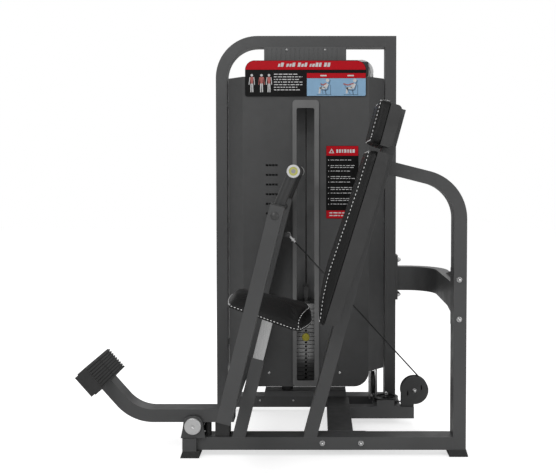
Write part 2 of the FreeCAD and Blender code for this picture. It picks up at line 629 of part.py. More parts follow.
def cable(drop_end):
    touch, direction = tangent_point()
    out_1 = V(P1.x, P1.y, P1.z - WRAP_R)
    half_way = P1 + V(WRAP_R, 0, 0)
    in_2 = P2 - V(0, WRAP_R, 0)
    out_2 = P2 - V(WRAP_R, 0, 0)
    in_3 = P3 - V(0, 0, WRAP_R)
    out_3 = P3 + V(0, WRAP_R, 0)
    in_4 = P4 + V(WRAP_R, 0, 0)
    out_4 = P4 + V(0, 0, WRAP_R)
    in_5 = P5 + V(0, 0, HEAD_WRAP_R)
    out_5 = P5 - V(HEAD_WRAP_R, 0, 0)
    run = [Part.Arc(touch, half_way, out_1), Part.LineSegment(out_1, in_2), wrap(P2, in_2, out_2, WRAP_R),
           Part.LineSegment(out_2, in_3), wrap(P3, in_3, out_3, WRAP_R), Part.LineSegment(out_3, in_4),
           wrap(P4, in_4, out_4, WRAP_R), Part.LineSegment(out_4, in_5), wrap(P5, in_5, out_5, HEAD_WRAP_R)]
    path = Part.Wire([piece.toShape() for piece in run])
    ring = Part.Wire([Part.makeCircle(CABLE_R, touch, direction)])
    nodes["cable_run"] = path.makePipeShell([ring], True, True)
    print("cable run: volume", round(nodes["cable_run"].Volume), "section x length",
          round(math.pi * CABLE_R ** 2 * path.Length))
    pin = V(EYE_PIN[0], ARM_Y, EYE_PIN[1])
    nodes["cable_arm_span"] = rod(pin + direction * EYE_LENGTH, touch, CABLE_R)
    nodes["cable_stack_drop"] = rod(V(STACK_X, TOWER_Y, drop_end), out_5, CABLE_R)

    start = pin + direction * 8
    eye = across(EYE_PIN[0], EYE_PIN[1], 11, ARM_Y - 4, ARM_Y + 4)
    shank = rod(start, pin + direction * EYE_LENGTH, 4.4)
    nut = Part.makeCylinder(8.5, 7, pin + direction * 27, direction)
    threads = [Part.makeCylinder(5.2, 1.5, pin + direction * (13 + 2.6 * k), direction) for k in range(5)]
    eye = joined([eye, shank, nut] + threads)
    nodes["cable_eye"] = eye.cut(across(EYE_PIN[0], EYE_PIN[1], 4 + RUNNING_GAP, ARM_Y - 5, ARM_Y + 5))
    print("cable direction in degrees", math.degrees(math.atan2(direction.z, direction.x)))


# ---- press arm -------------------------------------------------------------------------------------------
def press_arm():
    rise = math.radians(LEVER_RISE)
    hub = across(PIVOT_X, PIVOT_Z, HUB_R, -HALF_DEPTH, HALF_DEPTH)
    nodes["pivot_hub"] = hub.cut(across(PIVOT_X, PIVOT_Z, SHAFT_R + RUNNING_GAP, -50, 50))

    def along_lever(distance):
        return (LEVER_CORNER_X - distance * math.cos(rise), LEVER_Z + distance * math.sin(rise))

    path = [(LEVER_END_X, LEVER_Z), (LEVER_CORNER_X, LEVER_Z), along_lever(LEVER_LENGTH)]
    lever = tube_xz(path).cut(across(PIVOT_X, PIVOT_Z, HUB_R, -50, 50))
    rear_cap = box(LEVER_END_X - WALL, LEVER_END_X, -HALF_DEPTH, HALF_DEPTH, LEVER_Z - 25, LEVER_Z + 25)
    front_cap = bar_xz([along_lever(LEVER_LENGTH - WALL), along_lever(LEVER_LENGTH)], TUBE, TUBE_DEPTH)
    crosses = []
    for y0, y1 in ((-150, -HALF_DEPTH), (HALF_DEPTH, 150)):
        middle = along_lever(FOOT_PAD_CENTRE)
        crosses.append(across(middle[0], middle[1], 16, y0, y1))
    nodes["foot_lever"] = joined([lever, rear_cap, front_cap] + crosses)

    pads = []
    for side in (-1, 1):
        pads.append(foot_pad(along_lever, rise, side))
    nodes["foot_pads"] = Part.makeCompound(pads)
    arms()


def foot_pad(along_lever, rise, side):
    """A ribbed rubber block beside the lever and over its face; the ribs run across the machine."""
    u = V(-math.cos(rise), 0, math.sin(rise))
    n = V(math.sin(rise), 0, math.cos(rise))
    x, z = along_lever(FOOT_PAD_CENTRE)
    y0, y1 = sorted((side * FOOT_PAD_REACH, side * 2.5))
    middle = V(x, y0, z)
    half = FOOT_PAD_LENGTH / 2
    lip = 4.0
    outline = [middle + u * (half - lip) - n * 25, middle - u * (half - lip) - n * 25,
               middle - u * (half - lip) - n * 9, middle - u * half - n * 9, middle - u * half + n * 27]
    teeth = 9
    pitch = FOOT_PAD_LENGTH / teeth
    for k in range(teeth):
        start = -half + k * pitch
        outline.append(middle + u * start + n * 32)
        outline.append(middle + u * (start + pitch * 0.6) + n * 32)
        outline.append(middle + u * (start + pitch * 0.7) + n * 27)
        outline.append(middle + u * (start + pitch) + n * 27)
    outline.append(middle + u * half - n * 9)
    outline.append(middle + u * (half - lip) - n * 9)
    pad = slab(outline, 0, V(0, y1 - y0, 0))
    beside = sorted((side * (HALF_DEPTH + 2), 0))
    low = V(x, beside[0], z) - u * (half + 1) - n * 40
    high = low + u * (2 * half + 1 - lip)
    corners = [low, high, high + n * 65.3, low + n * 65.3]
    lever_space = slab(corners, 0, V(0, beside[1] - beside[0], 0))
    return pad.cut(lever_space).cut(across(x, z, 16, -150, 150))


def end_disc(y, outward, edge):
    """A disc on a grip's end at y, whose outer rim is chamfered."""
    outer = y + outward * 6
    disc = across(GRIP_AT[0], GRIP_AT[1], 22.5, min(y, outer), max(y, outer))
    return disc.makeChamfer(edge, [rim for rim in disc.Edges if abs(rim.CenterOfMass.y - outer) < 0.1])


def arms():
    foot_x, foot_z = ARM_FOOT
    arm_end = up_from(foot_x, foot_z, ARM_TILT, ARM_LENGTH)
    plug_depth = 4.0
    below_plug = up_from(foot_x, foot_z, ARM_TILT, ARM_LENGTH - plug_depth)
    foot_cap_end = up_from(foot_x, foot_z, ARM_TILT, WALL)
    round_at = up_from(foot_x, foot_z, ARM_TILT, ARM_LENGTH - 39)
    plugs = []
    bars = []
    grips = []
    caps = []
    for name, side in (("near_arm", -1), ("far_arm", 1)):
        y = side * ARM_Y
        arm = tube_xz([(foot_x, foot_z), below_plug], y=y)
        foot_cap = bar_xz([(foot_x, foot_z), foot_cap_end], TUBE, TUBE_DEPTH, y=y)
        pieces = [arm, foot_cap]
        if side > 0:
            pieces += anchor_lugs()
        arm = joined(pieces)
        face = y - HALF_DEPTH
        arm = arm.cut(across(round_at[0], round_at[1], 11, face - 1, face + WALL + 1))
        nodes[name] = arm
        plugs.append(bar_xz([below_plug, arm_end], TUBE - 1, TUBE_DEPTH - 1, y=y))
        stopper = across(round_at[0], round_at[1], 11, face, face + WALL)
        dome = Part.makeSphere(22, V(round_at[0], face + 16.5, round_at[1])).cut(
            box(-3000, 3000, face, face + 100, -3000, 3000))
        plugs.append(joined([stopper, dome]))

        stem_start = V(arm_end[0], y, arm_end[1])
        junction = V(GRIP_AT[0], y, GRIP_AT[1])
        stem = rod(stem_start - V(0, 0, 12), junction, 19)
        stem = stem.cut(bar_xz([(foot_x, foot_z), arm_end], 80, 100, y=y))
        y_out = side * GRIP_OUTER_Y
        y_in = side * GRIP_INNER_Y
        core = across(GRIP_AT[0], GRIP_AT[1], 14, min(y_out, y_in), max(y_out, y_in))
        bar = joined([max(stem.Solids, key=lambda piece: piece.Volume), core])
        bars.append(bar)
        grip = across(GRIP_AT[0], GRIP_AT[1], GRIP_R, min(y_out, y_in), max(y_out, y_in))
        grip = grip.cut(rod(stem_start - V(0, 0, 12), junction, 19)).cut(core)
        sleeve = max(grip.Solids, key=lambda piece: piece.Volume)
        inner_end = end_disc(y_in, -side, 3.0)
        grips.append(joined([sleeve, inner_end]))
        recess = sorted((y_out + side * 6, y_out + side * 4.5))
        caps.append(end_disc(y_out, side, 1.5).cut(across(GRIP_AT[0], GRIP_AT[1], 14, recess[0], recess[1])))
    nodes["arm_plugs"] = Part.makeCompound(plugs)
    nodes["handle_bars"] = Part.makeCompound(bars)
    nodes["hand_grips"] = Part.makeCompound(grips)
    nodes["grip_caps"] = Part.makeCompound(caps)

    cross_at = up_from(foot_x, foot_z, ARM_TILT, TUBE / 2)
    reach = ARM_Y - HALF_DEPTH
    cross = Part.makeBox(TUBE, 2 * reach, TUBE, V(-TUBE / 2, -reach, -TUBE / 2))
    cross = cross.cut(Part.makeBox(TUBE - 2 * WALL, 2 * reach, TUBE - 2 * WALL,
                                   V(WALL - TUBE / 2, -reach, WALL - TUBE / 2)))
    cross.rotate(V(0, 0, 0), V(0, 1, 0), ARM_TILT)
    cross.translate(V(cross_at[0], 0, cross_at[1]))
    stub_offset = -12.0
    stub_foot = up_from(cross_at[0] + stub_offset, cross_at[1], ARM_TILT, -130)
    into_wall = 4.0
    stub_top = up_from(cross_at[0] + stub_offset, cross_at[1], ARM_TILT, into_wall - TUBE / 2)
    stub = tube_xz([stub_foot, stub_top]).cut(below(LEVER_Z + TUBE / 2))
    nodes["arm_yoke"] = joined([cross, stub])


def anchor_lugs():
    """Two ears on the far arm's rear face with the pin that holds the cable's eye."""
    x, z = EYE_PIN
    lugs = []
    for y0 in (ARM_Y - 12, ARM_Y + 5):
        boss = across(x, z, 10, y0, y0 + 7)
        web = plate_xz([(x - 40, z - 10), (x, z - 10), (x, z + 10), (x - 30, z + 10)], 0, y0, y0 + 7)
        clear = bar_xz([ARM_FOOT, up_from(*ARM_FOOT, ARM_TILT, ARM_LENGTH)], TUBE - 1, 200, y=ARM_Y)
        ear = joined([boss, web]).cut(clear)
        lugs.append(max(ear.Solids, key=lambda piece: piece.CenterOfMass.x))
    lugs.append(across(x, z, 4, ARM_Y - 14, ARM_Y + 14))
    return lugs


# ---- seat and pads ---------------------------------------------------------------------------------------
def seat():
    top = up_from(SEAT_FOOT_X, RAIL_TOP, SEAT_TILT, SLEEVE_LENGTH + 220)
    foot_end = up_from(SEAT_FOOT_X, RAIL_TOP, SEAT_TILT, SLEEVE_LENGTH - SLIDER_INSERTED)
    under = [(-335, 606.5), (-96, 519), (-74, 514)]
    pad_line = [(-350, 612), (-96, 519), (-66, 514), (-45, 530), (-21, 588), (-33, 597), (-90, 606),
                (-310, 648), (-335, 640)]
    nodes["seat_cushion"] = plate_xz(pad_line, [8, 40, 10, 10, 10, 10, 60, 20, 12], -SEAT_HALF_WIDTH,
                                     SEAT_HALF_WIDTH)
    slider = tube_xz([foot_end, top], width=SLIDER_WIDTH, depth=SLIDER_DEPTH)
    run = under[1][0] - under[0][0]
    slope = (under[1][1] - under[0][1]) / run
    pan_ends = (-315.0, -115.0)
    pan_thick = 5.0
    pan_top = [(x, under[0][1] + (x - under[0][0]) * slope - 0.3) for x in pan_ends]
    pan = plate_xz([(pan_ends[0], pan_top[0][1] - pan_thick), (pan_ends[1], pan_top[1][1] - pan_thick),
                    (pan_ends[1], pan_top[1][1]), (pan_ends[0], pan_top[0][1])], 0, -110, 110)
    pan_low = [(x, pan_top[0][1] - pan_thick + (x - pan_ends[0]) * slope) for x in (-600, 200)]
    above_pan = plate_xz(pan_low + [(200, 900), (-600, 900)], 0, -200, 200)
    slider = slider.cut(above_pan)
    nodes["seat_slider"] = joined([max(slider.Solids, key=lambda piece: piece.Volume), pan])

    hole_at = up_from(SEAT_FOOT_X, RAIL_TOP, SEAT_TILT, SLEEVE_LENGTH - 40)
    face = HALF_DEPTH
    holes = []
    for step in range(-4, 4):
        x, z = up_from(hole_at[0], hole_at[1], SEAT_TILT, step * 25)
        holes.append(across(x, z, 5.5, 20, 40))
    nodes["seat_slider"] = nodes["seat_slider"].cut(Part.makeCompound(holes))
    barrel = across(hole_at[0], hole_at[1], 13, face, face + 24)
    barrel = barrel.cut(across(hole_at[0], hole_at[1], 5 + RUNNING_GAP, face, face + 24))
    sleeve = nodes["seat_post_sleeve"].cut(across(hole_at[0], hole_at[1], 5 + RUNNING_GAP, 30, face + 1))
    nodes["seat_post_sleeve"] = joined([sleeve, barrel])
    pin = across(hole_at[0], hole_at[1], 5, SLIDER_DEPTH / 2 + 0.5, face + 26)
    knob = across(hole_at[0], hole_at[1], 15, face + 25, face + 47)
    knob = knob.makeFillet(5, [edge for edge in knob.Edges if abs(edge.CenterOfMass.y - face - 47) < 0.1])
    nodes["seat_locking_pin"] = joined([pin, knob])


def post_slab(outline, radii, half_width):
    """A slab across the machine; its outline gives distances up the back post and in front of it."""
    lean = math.radians(BACK_TILT)
    up = V(math.sin(lean), 0, math.cos(lean))
    off = V(-math.cos(lean), 0, math.sin(lean))
    origin = V(BACK_FOOT_X, -half_width, RAIL_TOP)
    corners = [origin + up * u + off * n for u, n in outline]
    return slab(corners, radii, V(0, 2 * half_width, 0))


def back_pads():
    low, high = BACK_PAD
    head_low, head_high = HEAD_PAD
    back_shell = [(low + 3, 22), (800, -2), (high - 3, -2), (high - 3, 42.7), (low + 3, 67.5)]
    head_shell = [(head_low + 3, -2), (head_high - 3, -2), (head_high - 3, 42.7), (head_low + 3, 42.7)]
    post_front = TUBE / 2 + 0.3
    post_space = post_slab([(0, -60), (1500, -60), (1500, post_front), (0, post_front)], 0, 52)
    shells = []
    for outline, radii in ((back_shell, [14, 0, 18, 3, 3]), (head_shell, [18, 18, 3, 3])):
        shells.append(post_slab(outline, radii, PAD_HALF_WIDTH - 3).cut(post_space))
    nodes["pad_shells"] = Part.makeCompound(shells)
    radii = [4, 8, 12] + [0] * (len(BACK_PAD_CONTOUR) - 2) + [12]
    nodes["back_cushion"] = post_slab(BACK_PAD_REST + BACK_PAD_CONTOUR, radii, PAD_HALF_WIDTH)
    nodes["head_cushion"] = post_slab(HEAD_PAD_OUTLINE, [8, 8, 14, 14], PAD_HALF_WIDTH)


# ---- fasteners -------------------------------------------------------------------------------------------
def fasteners():
    to_viewer = V(0, -1, 0)
    pieces = []
    for x, z in ((17, 54), (167, 54), (546, 692), (546, 538)):
        pieces.append(acorn_nut(V(x, -HALF_DEPTH, z), to_viewer))
    for z in (546, 706):
        for y in (TOWER_Y - 20, TOWER_Y + 20):
            pieces.append(acorn_nut(V(TOWER_RIGHT + 10, y, z), V(1, 0, 0)))
    for x, z in ((-266, 60), (-113, 60), (-141.2, 1660), (31.8, 1660)):
        pieces.append(screw_head(V(x, TOWER_FRONT, z), to_viewer))
    pieces.append(screw_head(V(-219, PANEL_Y, 207), to_viewer, 6.0))
    pieces.append(screw_head(V(98, PANEL_Y, 207), to_viewer, 6.0))
    pieces.append(acorn_nut(P1 - V(0, 17, 0), to_viewer, 15.0).cut(rod(P1 - V(0, 24, 0), P1, BOLT_R)))
    pieces.append(acorn_nut(P2 + V(0, 0, 16), V(0, 0, 1), 15.0))
    nodes["frame_fasteners"] = Part.makeCompound(pieces)


# ---- build and write -------------------------------------------------------------------------------------
def write():
    whole = Part.makeCompound(list(nodes.values()))
    size = whole.optimalBoundingBox(False, False)
    origin = V(-(size.XMin + size.XMax) / 2, -(size.YMin + size.YMax) / 2, 0)
    for name, shape in nodes.items():
        moved = shape.copy()
        moved.translate(origin)
        moved.exportStep("parts/" + name + ".step")
    print("moved by", origin, "size", size.XLength, size.YLength, size.ZLength, "lowest", size.ZMin)
    print(len(nodes), "nodes")


seat_frame()
rubber_feet()
pivot()
links()
tower_frame()
rod_brackets()
drop = stack()
shrouds()
pulleys()
pulley_brackets()
cable(drop)
press_arm()
seat()
back_pads()
fasteners()
write()
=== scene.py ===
import json
import math
import random

import bmesh
import bpy
from mathutils import Matrix, Vector, kdtree


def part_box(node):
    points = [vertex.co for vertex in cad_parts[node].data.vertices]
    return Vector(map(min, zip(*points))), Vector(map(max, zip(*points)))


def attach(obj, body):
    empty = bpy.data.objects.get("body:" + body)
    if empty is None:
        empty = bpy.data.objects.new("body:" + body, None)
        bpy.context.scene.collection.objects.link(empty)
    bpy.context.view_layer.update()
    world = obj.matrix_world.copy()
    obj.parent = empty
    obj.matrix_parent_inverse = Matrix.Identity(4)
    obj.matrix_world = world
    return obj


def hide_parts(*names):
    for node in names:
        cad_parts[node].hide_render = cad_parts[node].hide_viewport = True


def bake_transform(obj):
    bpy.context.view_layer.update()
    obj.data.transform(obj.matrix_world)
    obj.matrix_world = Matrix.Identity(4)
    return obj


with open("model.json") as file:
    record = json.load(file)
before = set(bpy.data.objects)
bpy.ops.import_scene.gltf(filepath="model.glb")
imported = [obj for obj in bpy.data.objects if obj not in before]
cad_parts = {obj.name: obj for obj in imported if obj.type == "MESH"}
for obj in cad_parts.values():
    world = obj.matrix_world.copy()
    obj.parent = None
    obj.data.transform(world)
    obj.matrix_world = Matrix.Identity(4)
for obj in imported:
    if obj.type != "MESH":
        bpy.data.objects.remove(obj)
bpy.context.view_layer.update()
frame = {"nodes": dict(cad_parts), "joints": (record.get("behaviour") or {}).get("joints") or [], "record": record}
nodes = frame["nodes"]


# ---- places that come from the frame ------------------------------------------------------------
def middle(node):
    low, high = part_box(node)
    return (low + high) / 2


def joint(name):
    return next(j for j in frame["joints"] if j["name"] == name)


SEAT_PLANE = middle("back_post").y          # the machine's plane of symmetry without the tower
PIVOT = Vector(joint("press")["pos_m"])
EYE_PIN = Vector(joint("eye_swivel")["pos_m"])
ZERO_X = PIVOT.x + 0.484                    # where the camera stands along X, near the rear of the seat
BACK_TILT = math.radians(15.07)
UP_POST = Vector((math.sin(BACK_TILT), 0, math.cos(BACK_TILT)))
OFF_POST = Vector((-UP_POST.z, 0, UP_POST.x))
POST_FOOT = Vector((PIVOT.x + 0.454, SEAT_PLANE, 0.077))


# ---- camera, light and floor --------------------------------------------------------------------
SENSOR_WIDTH = 36.0         # mm
LENS = 52.2                 # mm
CAMERA_SHIFT = (-0.0719, -0.0665)
CAMERA_AWAY = 3.1375        # from the seat's plane, in metres
CAMERA_HEIGHT = 1.108
CAMERA_DIP = 2              # degrees below level

WORLD_LIGHT = 0.42          # strength of the light from all round
BACKDROP = 1.0              # how bright the same world looks to the camera
FLOOR_REACH = 12.0
FLOOR_GREY = 0.93
FLOOR_GLOW = 0.62           # seen by the camera only, so that the floor meets the backdrop


def camera():
    data = bpy.data.cameras.new("camera")
    data.sensor_width = SENSOR_WIDTH
    data.lens = LENS
    data.shift_x, data.shift_y = CAMERA_SHIFT
    eye = bpy.data.objects.new("camera", data)
    eye.location = (ZERO_X, SEAT_PLANE - CAMERA_AWAY, CAMERA_HEIGHT)
    eye.rotation_euler = (math.radians(90 - CAMERA_DIP), 0, 0)
    bpy.context.scene.collection.objects.link(eye)
    bpy.context.scene.camera = eye


def area_light(name, place, target, size, power, height=None, spread=180):
    """A square light, or one of its own height, that points at the target within its spread in degrees."""
    data = bpy.data.lights.new(name, "AREA")
    data.shape = "RECTANGLE"
    data.size = size
    data.size_y = height or size
    data.energy = power
    data.spread = math.radians(spread)
    lamp = bpy.data.objects.new(name, data)
    lamp.location = place
    lamp.rotation_euler = (Vector(target) - Vector(place)).to_track_quat("-Z", "Y").to_euler()
    bpy.context.scene.collection.objects.link(lamp)


def studio():
    world_light()
    area_light("key", (-1.6, -3.4, 3.6), (0, 0, 0.8), 2.4, 66)
    area_light("fill", (2.8, -2.8, 1.6), (0, 0, 0.8), 2.4, 24)
    area_light("rim", (0.4, 2.8, 3.2), (0, 0, 1.0), 2.0, 40)
    window = middle("window_surround")
    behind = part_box("window_surround")[1].y + 0.004
    area_light("window light", (window.x, behind, 0.8), (window.x, behind + 1, 0.8), 0.06, 0.3, 1.1, 100)
    pale_floor()
    bpy.context.scene.view_settings.view_transform = "Standard"


def world_light():
    world = bpy.data.worlds.new("studio")
    bpy.context.scene.world = world
    world.use_nodes = True
    tree = world.node_tree
    backdrop = tree.nodes["Background"]
    backdrop.inputs["Color"].default_value = (1.0, 1.0, 1.0, 1)
    seen = tree.nodes.new("ShaderNodeLightPath").outputs["Is Camera Ray"]
    strength = tree.nodes.new("ShaderNodeMapRange")
    strength.inputs["To Min"].default_value = WORLD_LIGHT
    strength.inputs["To Max"].default_value = BACKDROP
    tree.links.new(seen, strength.inputs["Value"])
    tree.links.new(strength.outputs["Result"], backdrop.inputs["Strength"])


def pale_floor():
    mesh = bpy.data.meshes.new("floor")
    corners = [(x * FLOOR_REACH, y * FLOOR_REACH, 0) for x, y in ((-1, -1), (1, -1), (1, 1), (-1, 1))]
    mesh.from_pydata(corners, [], [(0, 1, 2, 3)])
    floor = bpy.data.objects.new("floor", mesh)
    bpy.context.scene.collection.objects.link(floor)
    material = bpy.data.materials.new("pale_floor")
    material.use_nodes = True
    tree = material.node_tree
    shader = tree.nodes["Principled BSDF"]
    shader.inputs["Base Color"].default_value = (FLOOR_GREY, FLOOR_GREY, FLOOR_GREY, 1)
    shader.inputs["Roughness"].default_value = 0.8
    shader.inputs["Emission Color"].default_value = (1.0, 1.0, 1.0, 1)
    seen = tree.nodes.new("ShaderNodeLightPath").outputs["Is Camera Ray"]
    glow = tree.nodes.new("ShaderNodeMath")
    glow.operation = "MULTIPLY"
    glow.inputs[1].default_value = FLOOR_GLOW
    tree.links.new(seen, glow.inputs[0])
    tree.links.new(glow.outputs["Value"], shader.inputs["Emission Strength"])
    mesh.materials.append(material)


# ---- materials ----------------------------------------------------------------------------------
COLOUR_A, COLOUR_B, COLOUR_RESULT = 6, 7, 2      # the colour sockets of Blender's Mix node


class Finish:
    """A small helper that wires one procedural material."""

    def __init__(self, name):
        self.material = bpy.data.materials.new(name)
        self.material.use_nodes = True
        self.tree = self.material.node_tree
        self.shader = self.tree.nodes["Principled BSDF"]
        self.place = self.node("ShaderNodeTexCoord").outputs["Object"]

    def node(self, kind, **settings):
        made = self.tree.nodes.new(kind)
        for key, value in settings.items():
            setattr(made, key, value)
        return made

    def wire(self, source, target):
        self.tree.links.new(source, target)

    def stretched(self, scale):
        mapping = self.node("ShaderNodeMapping")
        mapping.inputs["Scale"].default_value = scale
        self.wire(self.place, mapping.inputs["Vector"])
        return mapping.outputs["Vector"]

    def noise(self, scale, detail=2.0, vector=None, roughness=0.5):
        """Fine noise, from 0 to 1, over the piece's own coordinates unless a vector is given."""
        made = self.node("ShaderNodeTexNoise")
        made.inputs["Scale"].default_value = scale
        made.inputs["Detail"].default_value = detail
        made.inputs["Roughness"].default_value = roughness
        self.wire(vector or self.place, made.inputs["Vector"])
        return made.outputs["Fac"]

    def cells(self, scale):
        """The distance to the nearest border between small cells."""
        made = self.node("ShaderNodeTexVoronoi", feature="DISTANCE_TO_EDGE")
        made.inputs["Scale"].default_value = scale
        self.wire(self.place, made.inputs["Vector"])
        return made.outputs["Distance"]

    def between(self, source, low, high, out_low=0.0, out_high=1.0):
        """The source's range from low to high, stretched to the output's range and cut off outside it."""
        made = self.node("ShaderNodeMapRange")
        for key, value in (("From Min", low), ("From Max", high), ("To Min", out_low), ("To Max", out_high)):
            made.inputs[key].default_value = value
        self.wire(source, made.inputs["Value"])
        return made.outputs["Result"]

    def maths(self, operation, one, other):
        made = self.node("ShaderNodeMath", operation=operation)
        for index, value in enumerate((one, other)):
            if isinstance(value, (int, float)):
                made.inputs[index].default_value = value
            else:
                self.wire(value, made.inputs[index])
        return made.outputs["Value"]

    def blend_colour(self, factor, one, other):
        """A mix of two colours, each a plain colour or another node's output."""
        made = self.node("ShaderNodeMix", data_type="RGBA")
        self.wire(factor, made.inputs["Factor"])
        for key, value in ((COLOUR_A, one), (COLOUR_B, other)):
            if isinstance(value, tuple):
                made.inputs[key].default_value = (*value, 1)
            else:
                self.wire(value, made.inputs[key])
        return made.outputs[COLOUR_RESULT]

    def colour(self, source):
        self.wire(source, self.shader.inputs["Base Color"])

    def uneven(self, noise, value, lower, higher):
        """Roughness that varies about a value with the noise."""
        varied = self.between(noise, 0.3, 0.7, value - lower, value + higher)
        self.wire(varied, self.shader.inputs["Roughness"])

    def painted_edge_highlight(self, radius):
        """1 on sharp edges and 0 on flat faces: the mask of a painted highlight along edges."""
        soft = self.node("ShaderNodeBevel", samples=4)
        soft.inputs["Radius"].default_value = radius
        true = self.node("ShaderNodeNewGeometry")
        dot = self.node("ShaderNodeVectorMath", operation="DOT_PRODUCT")
        self.wire(soft.outputs["Normal"], dot.inputs[0])
        self.wire(true.outputs["Normal"], dot.inputs[1])
        return self.between(dot.outputs["Value"], 0.985, 0.86)

    def bump(self, height, strength, distance, edge_radius=0.0):
        made = self.node("ShaderNodeBump")
        made.inputs["Strength"].default_value = strength
        made.inputs["Distance"].default_value = distance
        self.wire(height, made.inputs["Height"])
        if edge_radius:
            soft = self.node("ShaderNodeBevel", samples=4)
            soft.inputs["Radius"].default_value = edge_radius
            self.wire(soft.outputs["Normal"], made.inputs["Normal"])
        self.wire(made.outputs["Normal"], self.shader.inputs["Normal"])


def grey(level, tint=0.0):
    """An sRGB grey level from 0 to 255 as a linear colour, a little cooler with tint."""
    share = level / 255
    linear = share / 12.92 if share <= 0.04045 else ((share + 0.055) / 1.055) ** 2.4
    return (linear * (1 - tint), linear, linear * (1 + tint))


def powder_coat(name, level, roughness=0.42, grain=900.0, strength=0.12):
    """Satin paint with a fine speckle, soft patches and a painted highlight along its sharp edges."""
    edge = 0.0016
    f = Finish(name)
    patches = f.noise(3.2, 3.0)
    base = f.blend_colour(f.between(patches, 0.3, 0.7), grey(level - 3, 0.01), grey(level + 4, 0.01))
    # Sharp edges are painted 46 levels lighter, a painted highlight.
    lit = f.blend_colour(f.maths("MULTIPLY", f.painted_edge_highlight(edge), 0.35), base, grey(level + 46))
    f.colour(lit)
    speckle = f.noise(grain, 2.0)
    f.uneven(f.noise(24.0), roughness, 0.05, 0.08)
    f.bump(speckle, strength, 0.0004, edge)
    return f.material


def brushed(name, level, along="Z", roughness=0.3, metallic=1.0):
    """Metal with fine lines that run along one axis."""
    f = Finish(name)
    scale = {"X": (9, 900, 900), "Y": (900, 9, 900), "Z": (900, 900, 9)}[along]
    lines = f.noise(1.0, 3.0, f.stretched(scale))
    f.colour(f.blend_colour(f.between(lines, 0.3, 0.7), grey(level - 8), grey(level + 5)))
    f.shader.inputs["Metallic"].default_value = metallic
    f.wire(f.between(lines, 0.3, 0.7, roughness - 0.07, roughness + 0.1), f.shader.inputs["Roughness"])
    f.bump(lines, 0.12, 0.0003, 0.0006)
    return f.material


def polished(name, level):
    """Chrome with faint smudges."""
    roughness = 0.12
    f = Finish(name)
    smudge = f.noise(30.0, 4.0)
    f.colour(f.blend_colour(f.between(smudge, 0.3, 0.7), grey(level - 8), grey(level + 6)))
    f.shader.inputs["Metallic"].default_value = 1.0
    f.wire(f.between(smudge, 0.35, 0.7, roughness, roughness + 0.12), f.shader.inputs["Roughness"])
    f.bump(f.noise(220.0), 0.04, 0.0002, 0.0005)
    return f.material


def moulded(name, colour_low, colour_high, roughness=0.45, grain=1400.0, strength=0.1, edge=0.001):
    """Plastic with a fine moulded texture; edge is how far its corners are softened."""
    f = Finish(name)
    f.colour(f.blend_colour(f.between(f.noise(9.0, 3.0), 0.3, 0.7), colour_low, colour_high))
    f.uneven(f.noise(40.0), roughness, 0.05, 0.08)
    f.bump(f.noise(grain, 2.0), strength, 0.0003, edge)
    return f.material


def rubber(name, level):
    """Dusty rubber with a painted highlight along its sharp edges."""
    f = Finish(name)
    dust = f.noise(60.0, 5.0, roughness=0.7)
    base = f.blend_colour(f.between(dust, 0.45, 0.75), grey(level), grey(level + 14))
    # Sharp edges, such as the foot pads' rib crests, are painted 62 levels lighter, a painted highlight.
    f.colour(f.blend_colour(f.maths("MULTIPLY", f.painted_edge_highlight(0.0012), 0.7), base, grey(level + 62)))
    f.wire(f.between(dust, 0.3, 0.7, 0.62, 0.8), f.shader.inputs["Roughness"])
    f.bump(f.noise(700.0, 3.0), 0.25, 0.0005, 0.0012)
    return f.material


def leather(name, level):
    """Grained leather: small pebbles with creases darkened as painted shade, a soft sheen and broad worn patches.
    """
    f = Finish(name)
    warp = f.noise(90.0, 2.0)
    pebble = f.cells(420.0)
    crease = f.between(pebble, 0.0, 0.09)
    broad = f.noise(7.0, 4.0, roughness=0.6)
    base = f.blend_colour(f.between(broad, 0.35, 0.7), grey(level - 4), grey(level + 6))
    # The creases between the pebbles are painted darker, painted shade in the grain.
    f.colour(f.blend_colour(crease, grey(level * 0.3), base))
    f.wire(f.between(broad, 0.3, 0.7, 0.4, 0.54), f.shader.inputs["Roughness"])
    f.shader.inputs["Specular IOR Level"].default_value = 0.35
    f.shader.inputs["Sheen Weight"].default_value = 0.04
    f.shader.inputs["Sheen Roughness"].default_value = 0.4
    height = f.maths("ADD", f.maths("MULTIPLY", crease, 0.7), f.maths("MULTIPLY", warp, 0.5))
    f.bump(height, 0.35, 0.0007)
    return f.material


def cast_iron(name, level):
    """Dark, pitted iron."""
    f = Finish(name)
    pits = f.noise(260.0, 5.0, roughness=0.65)
    f.colour(f.blend_colour(f.between(pits, 0.35, 0.7), grey(level - 8), grey(level + 10)))
    f.shader.inputs["Metallic"].default_value = 0.15
    f.wire(f.between(pits, 0.3, 0.7, 0.4, 0.6), f.shader.inputs["Roughness"])
    f.bump(pits, 0.25, 0.0005, 0.0008)
    return f.material


def sheathed_cable(name):
    """Steel strands under a tight black sheath: faint turns show through it."""
    f = Finish(name)
    wave = f.node("ShaderNodeTexWave", wave_type="BANDS", bands_direction="DIAGONAL")
    wave.inputs["Scale"].default_value = 140.0
    wave.inputs["Distortion"].default_value = 0.4
    f.wire(f.place, wave.inputs["Vector"])
    f.colour(f.blend_colour(wave.outputs["Fac"], grey(8), grey(22)))
    f.shader.inputs["Roughness"].default_value = 0.42
    f.bump(wave.outputs["Fac"], 0.2, 0.0003)
    return f.material


def printed(name, low, high):
    """Screen-printed ink or a coated board, nearly flat."""
    f = Finish(name)
    f.colour(f.blend_colour(f.between(f.noise(60.0, 3.0), 0.3, 0.7), low, high))
    f.wire(f.between(f.noise(25.0), 0.3, 0.7, 0.34, 0.46), f.shader.inputs["Roughness"])
    f.shader.inputs["Specular IOR Level"].default_value = 0.2
    f.bump(f.noise(500.0), 0.03, 0.0002)
    return f.material


